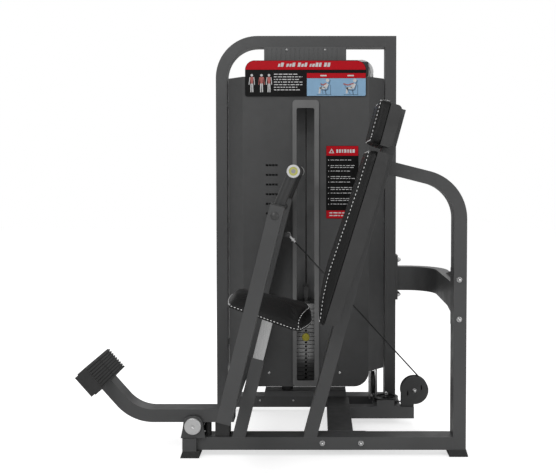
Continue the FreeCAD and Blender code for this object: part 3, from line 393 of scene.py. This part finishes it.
def paint_slots():
    """One finish for each of the record's material slots."""
    return {
        "frame_paint": powder_coat("frame_paint", 73),
        "dark_paint": powder_coat("dark_paint", 48, 0.4),
        "shroud_paint": powder_coat("shroud_paint", 71, 0.6, 700.0, 0.3),
        "surround_plastic": moulded("surround_plastic", grey(104), grey(116), 0.4),
        "rubber": rubber("rubber", 42),
        "leather": leather("leather", 14),
        "shell_plastic": moulded("shell_plastic", grey(52), grey(60), 0.4),
        "bright_steel": brushed("bright_steel", 205),
        "chrome": polished("chrome", 214),
        "plate_iron": cast_iron("plate_iron", 52),
        "cap_aluminium": brushed("cap_aluminium", 216, "Y", 0.36, 0.85),
        "yellow_plastic": moulded("yellow_plastic", (0.27, 0.24, 0.01), (0.34, 0.3, 0.014), 0.3),
        "black_plastic": moulded("black_plastic", grey(34), grey(42), 0.38),
        "white_nylon": moulded("white_nylon", grey(206), grey(222), 0.4),
        "cable_sheath": sheathed_cable("cable_sheath"),
        "graphic_board": printed("graphic_board", grey(3), grey(7)),
    }


finishes = paint_slots()
finishes["thread"] = moulded("thread", grey(236), grey(250), 0.6, 2200.0, 0.2, 0.0)


def dress_nodes():
    slot_of = {row["node"]: row["material_slot"] for row in frame["record"]["subparts"]}
    for name, thing in nodes.items():
        thing.data.materials.clear()
        thing.data.materials.append(finishes[slot_of[name]])


# ---- padded pieces ------------------------------------------------------------------------------
CLOTH_FRAMES = 20


def linked(name, mesh, material):
    thing = bpy.data.objects.new(name, mesh)
    bpy.context.scene.collection.objects.link(thing)
    mesh.materials.append(material)
    return thing


def only_active(thing):
    bpy.ops.object.select_all(action="DESELECT")
    bpy.context.view_layer.objects.active = thing
    thing.select_set(True)


def apply_modifier(thing, modifier):
    only_active(thing)
    bpy.ops.object.modifier_apply(modifier=modifier.name)


def remeshed(thing, voxel):
    modifier = thing.modifiers.new("remesh", "REMESH")
    modifier.mode = "VOXEL"
    modifier.voxel_size = voxel
    modifier.use_smooth_shade = True
    apply_modifier(thing, modifier)


def inflate(thing, held, most, pressure=4.0):
    """Fills the cover with cloth simulation; held(co) says which points stay on the board behind the foam."""
    start = [vertex.co.copy() for vertex in thing.data.vertices]
    group = thing.vertex_groups.new(name="held")
    group.add([i for i, co in enumerate(start) if held(co)], 1.0, "REPLACE")
    cloth = thing.modifiers.new("cover", "CLOTH")
    settings = cloth.settings
    settings.use_pressure = True
    settings.uniform_pressure_force = pressure
    settings.effector_weights.gravity = 0.0
    settings.tension_stiffness = 25
    settings.compression_stiffness = 25
    settings.bending_stiffness = 2.0
    settings.vertex_group_mass = "held"
    cloth.point_cache.frame_start = 1
    cloth.point_cache.frame_end = CLOTH_FRAMES
    for number in range(1, CLOTH_FRAMES + 1):
        bpy.context.scene.frame_set(number)
    apply_modifier(thing, cloth)
    bpy.context.scene.frame_set(1)
    for vertex, origin in zip(thing.data.vertices, start):
        moved = vertex.co - origin
        if moved.length > most:
            vertex.co = origin + moved.normalized() * most


def refined(thing):
    modifier = thing.modifiers.new("refine", "SUBSURF")
    modifier.levels = 1
    modifier.render_levels = 1
    apply_modifier(thing, modifier)
    for face in thing.data.polygons:
        face.use_smooth = True


def surface_hits(thing, rays):
    """Where each ray, a start and a direction, meets the piece, with the surface's normal."""
    bpy.context.view_layer.update()
    hits = []
    for start, direction in rays:
        found, place, normal, _ = thing.ray_cast(start, direction.normalized())
        if found:
            hits.append((place.copy(), normal.copy()))
    return hits


def press_seam(thing, hits, width, depth):
    """Pulls the cover in along a seam."""
    tree = kd_tree([place for place, _ in hits])
    outward = [vertex.normal.copy() for vertex in thing.data.vertices]
    for vertex, normal in zip(thing.data.vertices, outward):
        place, _, distance = tree.find(vertex.co)
        if distance < 3 * width:
            vertex.co -= normal * depth * math.exp(-(distance / width) ** 2)


def kd_tree(points):
    tree = kdtree.KDTree(len(points))
    for index, point in enumerate(points):
        tree.insert(point, index)
    tree.balance()
    return tree


def stitches(name, hits, length, gap, radius, material):
    """Separate thread stitches laid along the seam, each a long bead that sits half in the cover."""
    bm = bmesh.new()
    travelled = 0.0
    next_at = 0.0
    for (one, normal), (other, _) in zip(hits, hits[1:]):
        run = (other - one).length
        if run < 1e-6 or run > 0.04:
            travelled += run
            next_at = max(next_at, travelled)
            continue
        ahead = (other - one) / run
        while next_at <= travelled + run:
            centre = one + ahead * (next_at - travelled) + normal * radius * 0.35
            side = normal.cross(ahead).normalized()
            up = ahead.cross(side).normalized()
            turn = Matrix((ahead, side, up)).transposed().to_4x4()
            size = Matrix.Diagonal((length / 2, radius, radius * 0.8, 1))
            bmesh.ops.create_uvsphere(bm, u_segments=8, v_segments=6, radius=1.0,
                                      matrix=Matrix.Translation(centre) @ turn @ size)
            next_at += length + gap
        travelled += run
    mesh = bpy.data.meshes.new(name)
    bm.to_mesh(mesh)
    bm.free()
    for face in mesh.polygons:
        face.use_smooth = True
    return linked(name, mesh, material)


def along_line(line, x):
    """The height of a line of (x, height) points at x, level before its first point."""
    for (x0, z0), (x1, z1) in zip(line, line[1:]):
        if x <= x1:
            return z0 + (z1 - z0) * max(0.0, (x - x0) / (x1 - x0))
    return line[-1][1]


class PadSpace:
    """A back pad's room: a runs up the post, b across it, and share from shell (0) to front (1)."""

    def __init__(self, half_width, back, front):
        self.half_width = half_width
        self.back = back
        self.front = front
        self.low = front[0][0]
        self.high = front[-1][0]

    def depth(self, a, share):
        return along_line(self.back, a) * (1 - share) + along_line(self.front, a) * share

    def place(self, a, b, n):
        return POST_FOOT + UP_POST * a + Vector((0, b, 0)) + OFF_POST * n

    def from_front(self, a, b, behind):
        return self.place(a, b, self.depth(a, 1) - behind)

    def shaped(self, thing, front):
        """Gives a straight block, whose front is at the given depth, the pad's own contour."""
        for vertex in thing.data.vertices:
            a = (vertex.co - POST_FOOT).dot(UP_POST)
            n = (vertex.co - POST_FOOT).dot(OFF_POST)
            vertex.co += OFF_POST * (self.depth(a, n / front) - n)


def rounded_block(name, space, thick, inset, corner, edge, material):
    """A straight block with round corners and a rounded front rim, whose back is at depth 0."""
    bm = bmesh.new()
    bmesh.ops.create_cube(bm, size=1.0)
    for vertex in bm.verts:
        a = space.low + inset if vertex.co.x < 0 else space.high - inset
        b = (space.half_width - inset) * (1 if vertex.co.y > 0 else -1)
        n = 0 if vertex.co.z < 0 else thick - inset
        vertex.co = Vector((a, b, n))
    upright = [e for e in bm.edges if abs(e.verts[0].co.z - e.verts[1].co.z) > 1e-6]
    bmesh.ops.bevel(bm, geom=upright, offset=corner, segments=8, affect="EDGES", profile=0.5)
    rim = [e for e in bm.edges if all(abs(v.co.z - thick + inset) < 1e-6 for v in e.verts)]
    bmesh.ops.bevel(bm, geom=rim, offset=edge, segments=6, affect="EDGES", profile=0.5)
    mesh = bpy.data.meshes.new(name)
    bm.to_mesh(mesh)
    bm.free()
    for vertex in mesh.vertices:
        vertex.co = space.place(*vertex.co)
    if mesh_inside_out(mesh):
        mesh.flip_normals()
    return linked(name, mesh, material)


def mesh_inside_out(mesh):
    bm = bmesh.new()
    bm.from_mesh(mesh)
    volume = bm.calc_volume(signed=True)
    bm.free()
    return volume < 0


def rim_rays(space, corner, behind):
    """Rays from outside a back pad towards its side, all the way round it at one depth behind its front."""
    step = 0.004
    sides = ((0, -1), (1, 0), (0, 1), (-1, 0))
    centres = ((space.high - corner, -1), (space.high - corner, 1), (space.low + corner, 1),
               (space.low + corner, -1))
    reach = space.half_width - corner
    out = corner + 0.05
    rays = []

    def add(a, b, da, db):
        start = space.from_front(a, b, behind) + UP_POST * da * out + Vector((0, db * out, 0))
        rays.append((start, -(UP_POST * da + Vector((0, db, 0)))))

    for index, (a, side) in enumerate(centres):
        before, side_before = centres[index - 1]
        b, b_before = side * reach, side_before * reach
        da, db = sides[index]
        count = int(math.hypot(a - before, b - b_before) / step)
        for k in range(1, count):
            share = k / count
            add(before + (a - before) * share, b_before + (b - b_before) * share, da, db)
        next_a, next_b = sides[(index + 1) % 4]
        for k in range(11):
            turn = k / 10 * math.pi / 2
            here, ahead = math.cos(turn), math.sin(turn)
            add(a, b, da * here + next_a * ahead, db * here + next_b * ahead)
    return rays + rays[:1]


BACK_PAD_REST = ((0.446, 0.068), (1.139, 0.043))
BACK_PAD_CONTOUR = ((0.446, 0.090), (0.506, 0.098), (0.552, 0.104), (0.610, 0.107), (0.667, 0.107),
                    (0.744, 0.102), (0.821, 0.097), (0.974, 0.087), (1.139, 0.081))
HEAD_PAD_REST = ((1.156, 0.043), (1.333, 0.043))
HEAD_PAD_CONTOUR = ((1.156, 0.088), (1.333, 0.088))
PAD_CORNER = 0.03
PAD_RIM = 0.01              # how far the front rim is rounded
PAD_SWELL = 0.0035
PAD_THICK = 0.042           # of the straight block that takes the contour
PAD_HELD = 0.006            # the cover's depth that stays on the shell
PAD_SEAM = 0.0095           # behind the front
PAD_THREAD = 0.0065         # behind the front
PAD_STITCH = (0.0085, 0.0065, 0.0016)       # length, gap and radius


def back_pad(node, back, front):
    """A tight leather pad whose front rim is sewn all round; it is flat on the shell behind it."""
    half_width = (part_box(node)[1].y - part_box(node)[0].y) / 2
    space = PadSpace(half_width, back, front)
    name = node + "_leather"
    pad = rounded_block(name, space, PAD_THICK, PAD_SWELL, PAD_CORNER, PAD_RIM, finishes["leather"])
    remeshed(pad, 0.005)
    space.shaped(pad, PAD_THICK)

    def on_board(co):
        a = (co - POST_FOOT).dot(UP_POST)
        return (co - POST_FOOT).dot(OFF_POST) < space.depth(a, 0) + PAD_HELD

    inflate(pad, on_board, PAD_SWELL)
    refined(pad)
    press_seam(pad, surface_hits(pad, rim_rays(space, PAD_CORNER, PAD_SEAM)), 0.0022, 0.0012)
    thread_line = surface_hits(pad, rim_rays(space, PAD_CORNER, PAD_THREAD))
    thread = stitches(node + "_stitching", thread_line, *PAD_STITCH, finishes["thread"])
    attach(pad, "frame")
    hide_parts(node)
    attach(thread, "frame")


# The seat's shape, in metres from ZERO_X along X and from the floor.
SEAT_FRONT = -0.348
SEAT_REAR = -0.023
SEAT_REAR_BULGE = 0.043
SEAT_FRONT_BULGE = 0.014
SEAT_HALF_WIDTH = 0.163
SEAT_STITCH = (0.0075, 0.0055, 0.0015)      # length, gap and radius
SEAT_UNDER = ((-0.349, 0.611), (-0.096, 0.5195), (-0.068, 0.5145), (-0.022, 0.522))
SEAT_TOP = ((-0.349, 0.628), (-0.318, 0.646), (-0.205, 0.624), (-0.090, 0.598), (-0.020, 0.584))


def seat_point(a, b, top):
    """A point of the seat's cover: a runs from front to rear and b across, each up to 1."""
    front = SEAT_FRONT + SEAT_FRONT_BULGE * b * b
    rear = SEAT_REAR - SEAT_REAR_BULGE * b * b
    x = front + (rear - front) * a
    under = along_line(SEAT_UNDER, x)
    if not top:
        return Vector((ZERO_X + x, SEAT_PLANE + SEAT_HALF_WIDTH * b, under))
    crown = (1 - abs(b) ** 3.0) ** 0.5
    nose = (1 - (1 - min(a / 0.16, 1)) ** 2.2) ** 0.5
    tail = (1 - (1 - min((1 - a) / 0.09, 1)) ** 2.4) ** 0.5
    rise = (along_line(SEAT_TOP, x) - under) * crown * nose * tail
    return Vector((ZERO_X + x, SEAT_PLANE + SEAT_HALF_WIDTH * b, under + max(rise, 0.003)))


def seat_cover():
    count_a, count_b = 70, 64
    bm = bmesh.new()
    sheets = {}
    for top in (True, False):
        for i in range(count_a + 1):
            for j in range(count_b + 1):
                sheets[top, i, j] = bm.verts.new(seat_point(i / count_a, 2 * j / count_b - 1, top))
    for top in (True, False):
        for i in range(count_a):
            for j in range(count_b):
                corners = ((i, j), (i + 1, j), (i + 1, j + 1), (i, j + 1))
                ring = [sheets[top, k, m] for k, m in corners]
                bm.faces.new(ring if top else ring[::-1])
    border = [(i, 0) for i in range(count_a)] + [(count_a, j) for j in range(count_b)]
    border += [(i, count_b) for i in range(count_a, 0, -1)] + [(0, j) for j in range(count_b, 0, -1)]
    for (i, j), (k, m) in zip(border, border[1:] + border[:1]):
        bm.faces.new([sheets[True, k, m], sheets[True, i, j], sheets[False, i, j], sheets[False, k, m]])
    bmesh.ops.recalc_face_normals(bm, faces=bm.faces)
    mesh = bpy.data.meshes.new("seat_cushion_leather")
    bm.to_mesh(mesh)
    bm.free()
    return linked("seat_cushion_leather", mesh, finishes["leather"])


def seat_edge_rays():
    """Rays towards the seat's side all the way round it, just above its lower edge."""
    lift = 0.008
    out = 0.05
    sides = []
    for side in (-1, 1):
        line = [seat_point(k / 60, side, False) for k in range(61)]
        line = line if side < 0 else line[::-1]
        sides.append([(p + Vector((0, side * out, lift)), Vector((0, -side, 0))) for p in line])
    rear = [seat_point(1.0, k / 30, False) for k in range(-29, 30)]
    rear_rays = [(p + Vector((out, 0, lift)), Vector((-1, 0, 0))) for p in rear]
    front = [seat_point(0.0, -k / 30, False) for k in range(-29, 30)]
    front_rays = [(p + Vector((-out, 0, lift)), Vector((1, 0, 0))) for p in front]
    return sides[0] + rear_rays + sides[1] + front_rays


def seat_end_rays():
    """Rays towards the seat's rear rim, from one side over the top to the other side."""
    rays = []
    for k in range(-60, 61):
        turn = k / 60 * math.pi / 2
        b = math.sin(turn)
        x = SEAT_REAR - SEAT_REAR_BULGE * b * b - 0.014
        outside = Vector((ZERO_X + x + 0.03, SEAT_PLANE + 0.26 * b, 0.54 + 0.22 * math.cos(turn)))
        inside = Vector((ZERO_X + x - 0.002, SEAT_PLANE + 0.12 * b, 0.53 + 0.03 * math.cos(turn)))
        rays.append((outside, inside - outside))
    return rays


def seat_cushion():
    """A domed leather seat, sewn along its lower edge and over its rear end."""
    seat = seat_cover()
    remeshed(seat, 0.004)
    inflate(seat, lambda co: co.z < along_line(SEAT_UNDER, co.x - ZERO_X) + 0.004, 0.004, 2.0)
    refined(seat)
    lower = surface_hits(seat, seat_edge_rays())
    end_seam = surface_hits(seat, seat_end_rays())
    press_seam(seat, lower, 0.0022, 0.001)
    press_seam(seat, end_seam, 0.0024, 0.0014)
    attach(seat, "seat")
    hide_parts("seat_cushion")
    for name, seam in (("seat_edge_stitching", lower), ("seat_end_stitching", end_seam)):
        thread = stitches(name, seam, *SEAT_STITCH, finishes["thread"])
        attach(thread, "seat")


# ---- cable spans --------------------------------------------------------------------------------
CABLE_RADIUS = 0.003
CABLE_SIDES = 16


def cable_span(name, node, start, end):
    """A tight stretch of cable with a ring of points at each end, so that it stays straight as it grows."""
    sides = CABLE_SIDES
    ahead = (end - start).normalized()
    side = ahead.cross(Vector((0, 1, 0))).normalized()
    up = side.cross(ahead)
    points = []
    for place in (start, end):
        for k in range(sides):
            turn = 2 * math.pi * k / sides
            points.append(place + side * CABLE_RADIUS * math.cos(turn) + up * CABLE_RADIUS * math.sin(turn))
    faces = [(k, (k + 1) % sides, sides + (k + 1) % sides, sides + k) for k in range(sides)]
    faces += [tuple(reversed(range(sides))), tuple(range(sides, 2 * sides))]
    mesh = bpy.data.meshes.new(name)
    mesh.from_pydata(points, [], faces)
    for face in mesh.polygons:
        face.use_smooth = len(face.vertices) == 4
    span = linked(name, mesh, finishes["cable_sheath"])
    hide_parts(node)
    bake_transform(span)


def cable_spans():
    low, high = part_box("cable_arm_span")
    heading = (Vector((low.x, 0, high.z)) - Vector((high.x, 0, low.z))).normalized()
    touch = Vector((high.x - CABLE_RADIUS * heading.z, EYE_PIN.y, low.z - CABLE_RADIUS * heading.x))
    cable_span("cable_to_arm", "cable_arm_span", touch, EYE_PIN)
    low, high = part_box("cable_stack_drop")
    x = (low.x + high.x) / 2
    y = (low.y + high.y) / 2
    top = Vector((x, y, high.z))
    ferrule = Vector((x, y, low.z - 0.01))
    cable_span("cable_to_stack", "cable_stack_drop", top, ferrule)


# ---- printed boards -----------------------------------------------------------------------------
BOARD_RED = (0.5, 0.0, 0.008)
BOARD_BLUE = (0.27, 0.45, 0.64)
PRINT_LAYER = 0.0003


def scaled(colour, share):
    return tuple(channel * share for channel in colour)


def print_inks():
    return {
        "red": printed("red_ink", scaled(BOARD_RED, 0.92), BOARD_RED),
        "blue": printed("blue_ink", scaled(BOARD_BLUE, 0.95), BOARD_BLUE),
        "white": printed("white_ink", grey(196), grey(214)),
        "slate": printed("slate_ink", (0.12, 0.2, 0.3), (0.14, 0.23, 0.34)),
        "skin": printed("figure_ink", (0.4, 0.12, 0.11), (0.46, 0.15, 0.13)),
    }


class Board:
    """A flat printed board that faces the camera's side; shapes are in metres from its lower left corner."""

    def __init__(self, node, name):
        low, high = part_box(node)
        self.low = low
        self.width = high.x - low.x
        self.height = high.z - low.z
        self.name = name
        self.shapes = {}

    def shape(self, ink, points, layer=1):
        self.shapes.setdefault(ink, []).append((layer, points))

    def bar(self, ink, x0, x1, z0, z1, layer=1, slant=0.0):
        self.shape(ink, [(x0, z0), (x1, z0), (x1 + slant, z1), (x0 + slant, z1)], layer)

    def disc(self, ink, x, z, radius, layer=1):
        turns = [2 * math.pi * k / 16 for k in range(16)]
        self.shape(ink, [(x + radius * math.cos(t), z + radius * math.sin(t)) for t in turns], layer)

    def limb(self, ink, points, width, layer=1):
        """A thick line through the points, one four-sided shape for each length."""
        for (x0, z0), (x1, z1) in zip(points, points[1:]):
            run = math.hypot(x1 - x0, z1 - z0)
            sx, sz = -(z1 - z0) / run * width / 2, (x1 - x0) / run * width / 2
            low_side = [(x0 - sx, z0 - sz), (x1 - sx, z1 - sz)]
            high_side = [(x1 + sx, z1 + sz), (x0 + sx, z0 + sz)]
            self.shape(ink, low_side + high_side, layer)

    def finish(self):
        for ink, shapes in self.shapes.items():
            vertices = []
            faces = []
            for layer, points in shapes:
                front = self.low.y - PRINT_LAYER * layer
                count = len(points)
                start = len(vertices)
                vertices += [(self.low.x + x, front, self.low.z + z) for x, z in points]
                vertices += [(self.low.x + x, self.low.y + 0.0001, self.low.z + z) for x, z in points]
                faces.append([start + k for k in range(count)])
                faces.append([start + count + k for k in reversed(range(count))])
                for k in range(count):
                    following = (k + 1) % count
                    faces.append([start + following, start + k, start + count + k, start + count + following])
            mesh = bpy.data.meshes.new(self.name + "_" + ink)
            mesh.from_pydata(vertices, [], faces)
            sheet = linked(self.name + "_" + ink, mesh, inks[ink])
            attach(sheet, "frame")


def corner_points(x, z, radius, start):
    turns = [math.radians(start + 9 * k) for k in range(11)]
    return [(x + radius * math.cos(t), z + radius * math.sin(t)) for t in turns]


def rows_of_marks(board, ink, x0, x1, z_top, rows, pitch, height, seed, layer=1):
    """Short bars in rows, in place of lettering."""
    draw = random.Random(seed)
    for row in range(rows):
        x = x0
        z = z_top - row * pitch
        end = x1 - draw.random() * (x1 - x0) * 0.25
        while x < end:
            length = draw.uniform(0.006, 0.02)
            board.bar(ink, x, min(x + length, x1), z - height, z, layer)
            x += length + 0.004


def standing_figure(board, x, foot, height, from_behind):
    """A plain standing outline; its trunk, and its arms from behind, are in the muscles' colour."""
    head = height * 0.07
    top = foot + height
    board.disc("white", x, top - head, head, 2)
    shoulder = top - head * 2.4
    hip = foot + height * 0.47
    wide = height * 0.1
    waist = wide * 0.6
    board.shape("skin", [(x - wide, shoulder), (x - waist, hip), (x + waist, hip), (x + wide, shoulder)], 2)
    for side in (-1, 1):
        upper_arm = (x + side * wide * 1.1, shoulder - height * 0.01)
        elbow = (x + side * wide * 1.45, hip + height * 0.05)
        hand = (x + side * wide * 1.5, hip - height * 0.06)
        board.limb("skin" if from_behind else "white", [upper_arm, elbow, hand], height * 0.04, 2)
        knee = (x + side * wide * 0.5, foot + height * 0.2)
        ankle = (x + side * wide * 0.55, foot)
        board.limb("white", [(x + side * wide * 0.4, hip), knee, ankle], height * 0.06, 2)


def seated_figure(board, x, foot, reach):
    """A pale figure on a machine's seat that pushes a lever forward by the reach."""
    def slate(points, width):
        board.limb("slate", [(x + dx, foot + dz) for dx, dz in points], width, 2)

    def body(points, width):
        board.limb("white", [(x + dx, foot + dz) for dx, dz in points], width, 3)

    slate([(-0.03, 0.001), (0.034, 0.001)], 0.003)             # base
    slate([(0.012, 0), (0.008, 0.022)], 0.005)                 # seat post
    slate([(-0.012, 0.0225), (0.016, 0.0205)], 0.006)          # seat
    slate([(0.017, 0.021), (0.029, 0.066)], 0.007)             # back pad
    slate([(0.031, 0), (0.031, 0.045)], 0.003)                 # back post
    body([(0.006, 0.03), (0.015, 0.05)], 0.017)                # trunk
    body([(0.006, 0.0295), (-0.016, 0.031)], 0.01)             # thigh
    body([(-0.015, 0.034), (-0.018, 0.006)], 0.008)            # shin
    board.disc("white", x + 0.018, foot + 0.064, 0.0078, 3)
    elbow = (x - reach / 2, foot + 0.043)
    hand = (x - reach - 0.006, foot + 0.049)
    board.limb("skin", [(x + 0.013, foot + 0.051), elbow, hand], 0.005, 4)
    board.limb("slate", [(x - reach - 0.006, foot + 0.052), (x - 0.002, foot + 0.004)], 0.0032, 3)


def placard():
    """Red title field, black field with three standing figures and lines, blue field with two seated ones."""
    board = Board("placard", "placard")
    width, height = board.width, board.height
    edge = 0.0015
    top_radius = 0.042
    low_radius = 0.008
    title_foot = 0.117
    split = 0.274
    blue_top = 0.079
    figure_foot = 0.018
    top = corner_points(width - top_radius, height - top_radius, top_radius - edge, 0)
    top += corner_points(top_radius, height - top_radius, top_radius - edge, 90)
    board.shape("red", [(edge, title_foot), (width - edge, title_foot)] + top)
    draw = random.Random(3)
    x = width * 0.27
    while x < width * 0.7:
        length = draw.uniform(0.007, 0.013)
        block_height = draw.choice((0.026, 0.031))
        board.bar("white", x, x + length, title_foot + 0.013, title_foot + block_height, 2, 0.004)
        x += length + draw.choice((0.0035, 0.0035, 0.012))
    board.bar("red", split, width - edge, 0.08, 0.102)
    low_corner = corner_points(width - low_radius, low_radius, low_radius - edge, -90)
    board.shape("blue", [(split, edge)] + low_corner + [(width - edge, blue_top), (split, blue_top)])
    for share, reach in ((0.28, 0.006), (0.74, 0.026)):
        x = split + (width - split) * share
        board.bar("white", x - 0.014, x + 0.014, 0.088, 0.094, 2)
        seated_figure(board, x, 0.006, reach)
    for x, behind in ((0.03, False), (0.073, True), (0.106, False)):
        standing_figure(board, x, figure_foot, 0.08, behind)
    rows_of_marks(board, "white", 0.128, 0.254, 0.099, 7, 0.0115, 0.0038, 5)
    board.finish()


def label_panel():
    """Red head with a plain triangle, nine short lines on black and a red foot."""
    board = Board("label_panel", "label")
    width, height = board.width, board.height
    edge = 0.0012
    board.bar("red", edge, width - edge, height - 0.044, height - edge)
    board.shape("white", [(0.012, height - 0.033), (0.036, height - 0.033), (0.024, height - 0.012)], 2)
    board.shape("red", [(0.0185, height - 0.030), (0.0295, height - 0.030), (0.024, height - 0.0195)], 3)
    draw = random.Random(9)
    x = 0.045
    while x < width - 0.02:
        length = draw.uniform(0.006, 0.011)
        board.bar("white", x, x + length, height - 0.031, height - 0.016, 2)
        x += length + 0.004
    board.bar("red", edge, width - edge, edge, 0.036)
    rows_of_marks(board, "white", 0.014, width - 0.02, 0.028, 2, 0.012, 0.005, 11, 2)
    for item in range(9):
        z = height - 0.062 - item * 0.0245
        board.bar("white", 0.009, 0.0125, z - 0.0035, z)
        rows_of_marks(board, "white", 0.02, width - 0.015, z, 1 + item % 2, 0.0085, 0.0026, 20 + item)
    board.finish()


# ---- grip caps ----------------------------------------------------------------------------------
def grip_cap_finish():
    """Turned silver rim, yellow-green ring and grey middle, by the distance from the grip's axis."""
    middle_radius = 0.0074
    ring_radius = 0.015
    blur = 0.0002
    f = Finish("grip_cap_rings")
    low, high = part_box("grip_caps")
    offset = f.node("ShaderNodeVectorMath", operation="SUBTRACT")
    f.wire(f.place, offset.inputs[0])
    offset.inputs[1].default_value = (low + high) / 2
    flat = f.node("ShaderNodeVectorMath", operation="MULTIPLY")
    f.wire(offset.outputs["Vector"], flat.inputs[0])
    flat.inputs[1].default_value = (1, 0, 1)
    length = f.node("ShaderNodeVectorMath", operation="LENGTH")
    f.wire(flat.outputs["Vector"], length.inputs[0])
    distance = length.outputs["Value"]
    fine = f.noise(260.0, 3.0)
    rim = f.blend_colour(f.between(fine, 0.3, 0.7), grey(206), grey(226))
    ring = f.blend_colour(f.between(fine, 0.3, 0.7), (0.50, 0.49, 0.14), (0.58, 0.56, 0.18))
    centre = f.blend_colour(f.between(fine, 0.3, 0.7), (0.3, 0.29, 0.33), (0.38, 0.37, 0.41))
    inner = f.blend_colour(f.between(distance, middle_radius - blur, middle_radius + blur), centre, ring)
    f.colour(f.blend_colour(f.between(distance, ring_radius - blur, ring_radius + blur), inner, rim))
    f.wire(f.between(fine, 0.3, 0.7, 0.3, 0.45), f.shader.inputs["Roughness"])
    f.shader.inputs["Metallic"].default_value = 0.25
    f.bump(fine, 0.05, 0.0002, 0.0005)
    return f.material


def own_finishes():
    """Nodes that look different from the rest of their slot."""
    bracket_paint = powder_coat("bracket_paint", 86, 0.5)
    finish_of = {
        "grip_caps": grip_cap_finish(),
        "rod_brackets": bracket_paint,
        "pulley_beam": bracket_paint,
        "outer_pulley_housing": powder_coat("housing_paint", 62),
        "stack_clevis": moulded("clevis_black", grey(8), grey(14), 0.75),
        "selector_stem": cast_iron("stem_iron", 26),
        "cable_eye": brushed("eye_steel", 236, "X", 0.4, 0.3),
    }
    for node, finish in finish_of.items():
        nodes[node].data.materials[0] = finish


camera()
studio()
dress_nodes()
inks = print_inks()
placard()
label_panel()
own_finishes()
back_pad("back_cushion", BACK_PAD_REST, BACK_PAD_CONTOUR)
back_pad("head_cushion", HEAD_PAD_REST, HEAD_PAD_CONTOUR)
seat_cushion()
cable_spans()
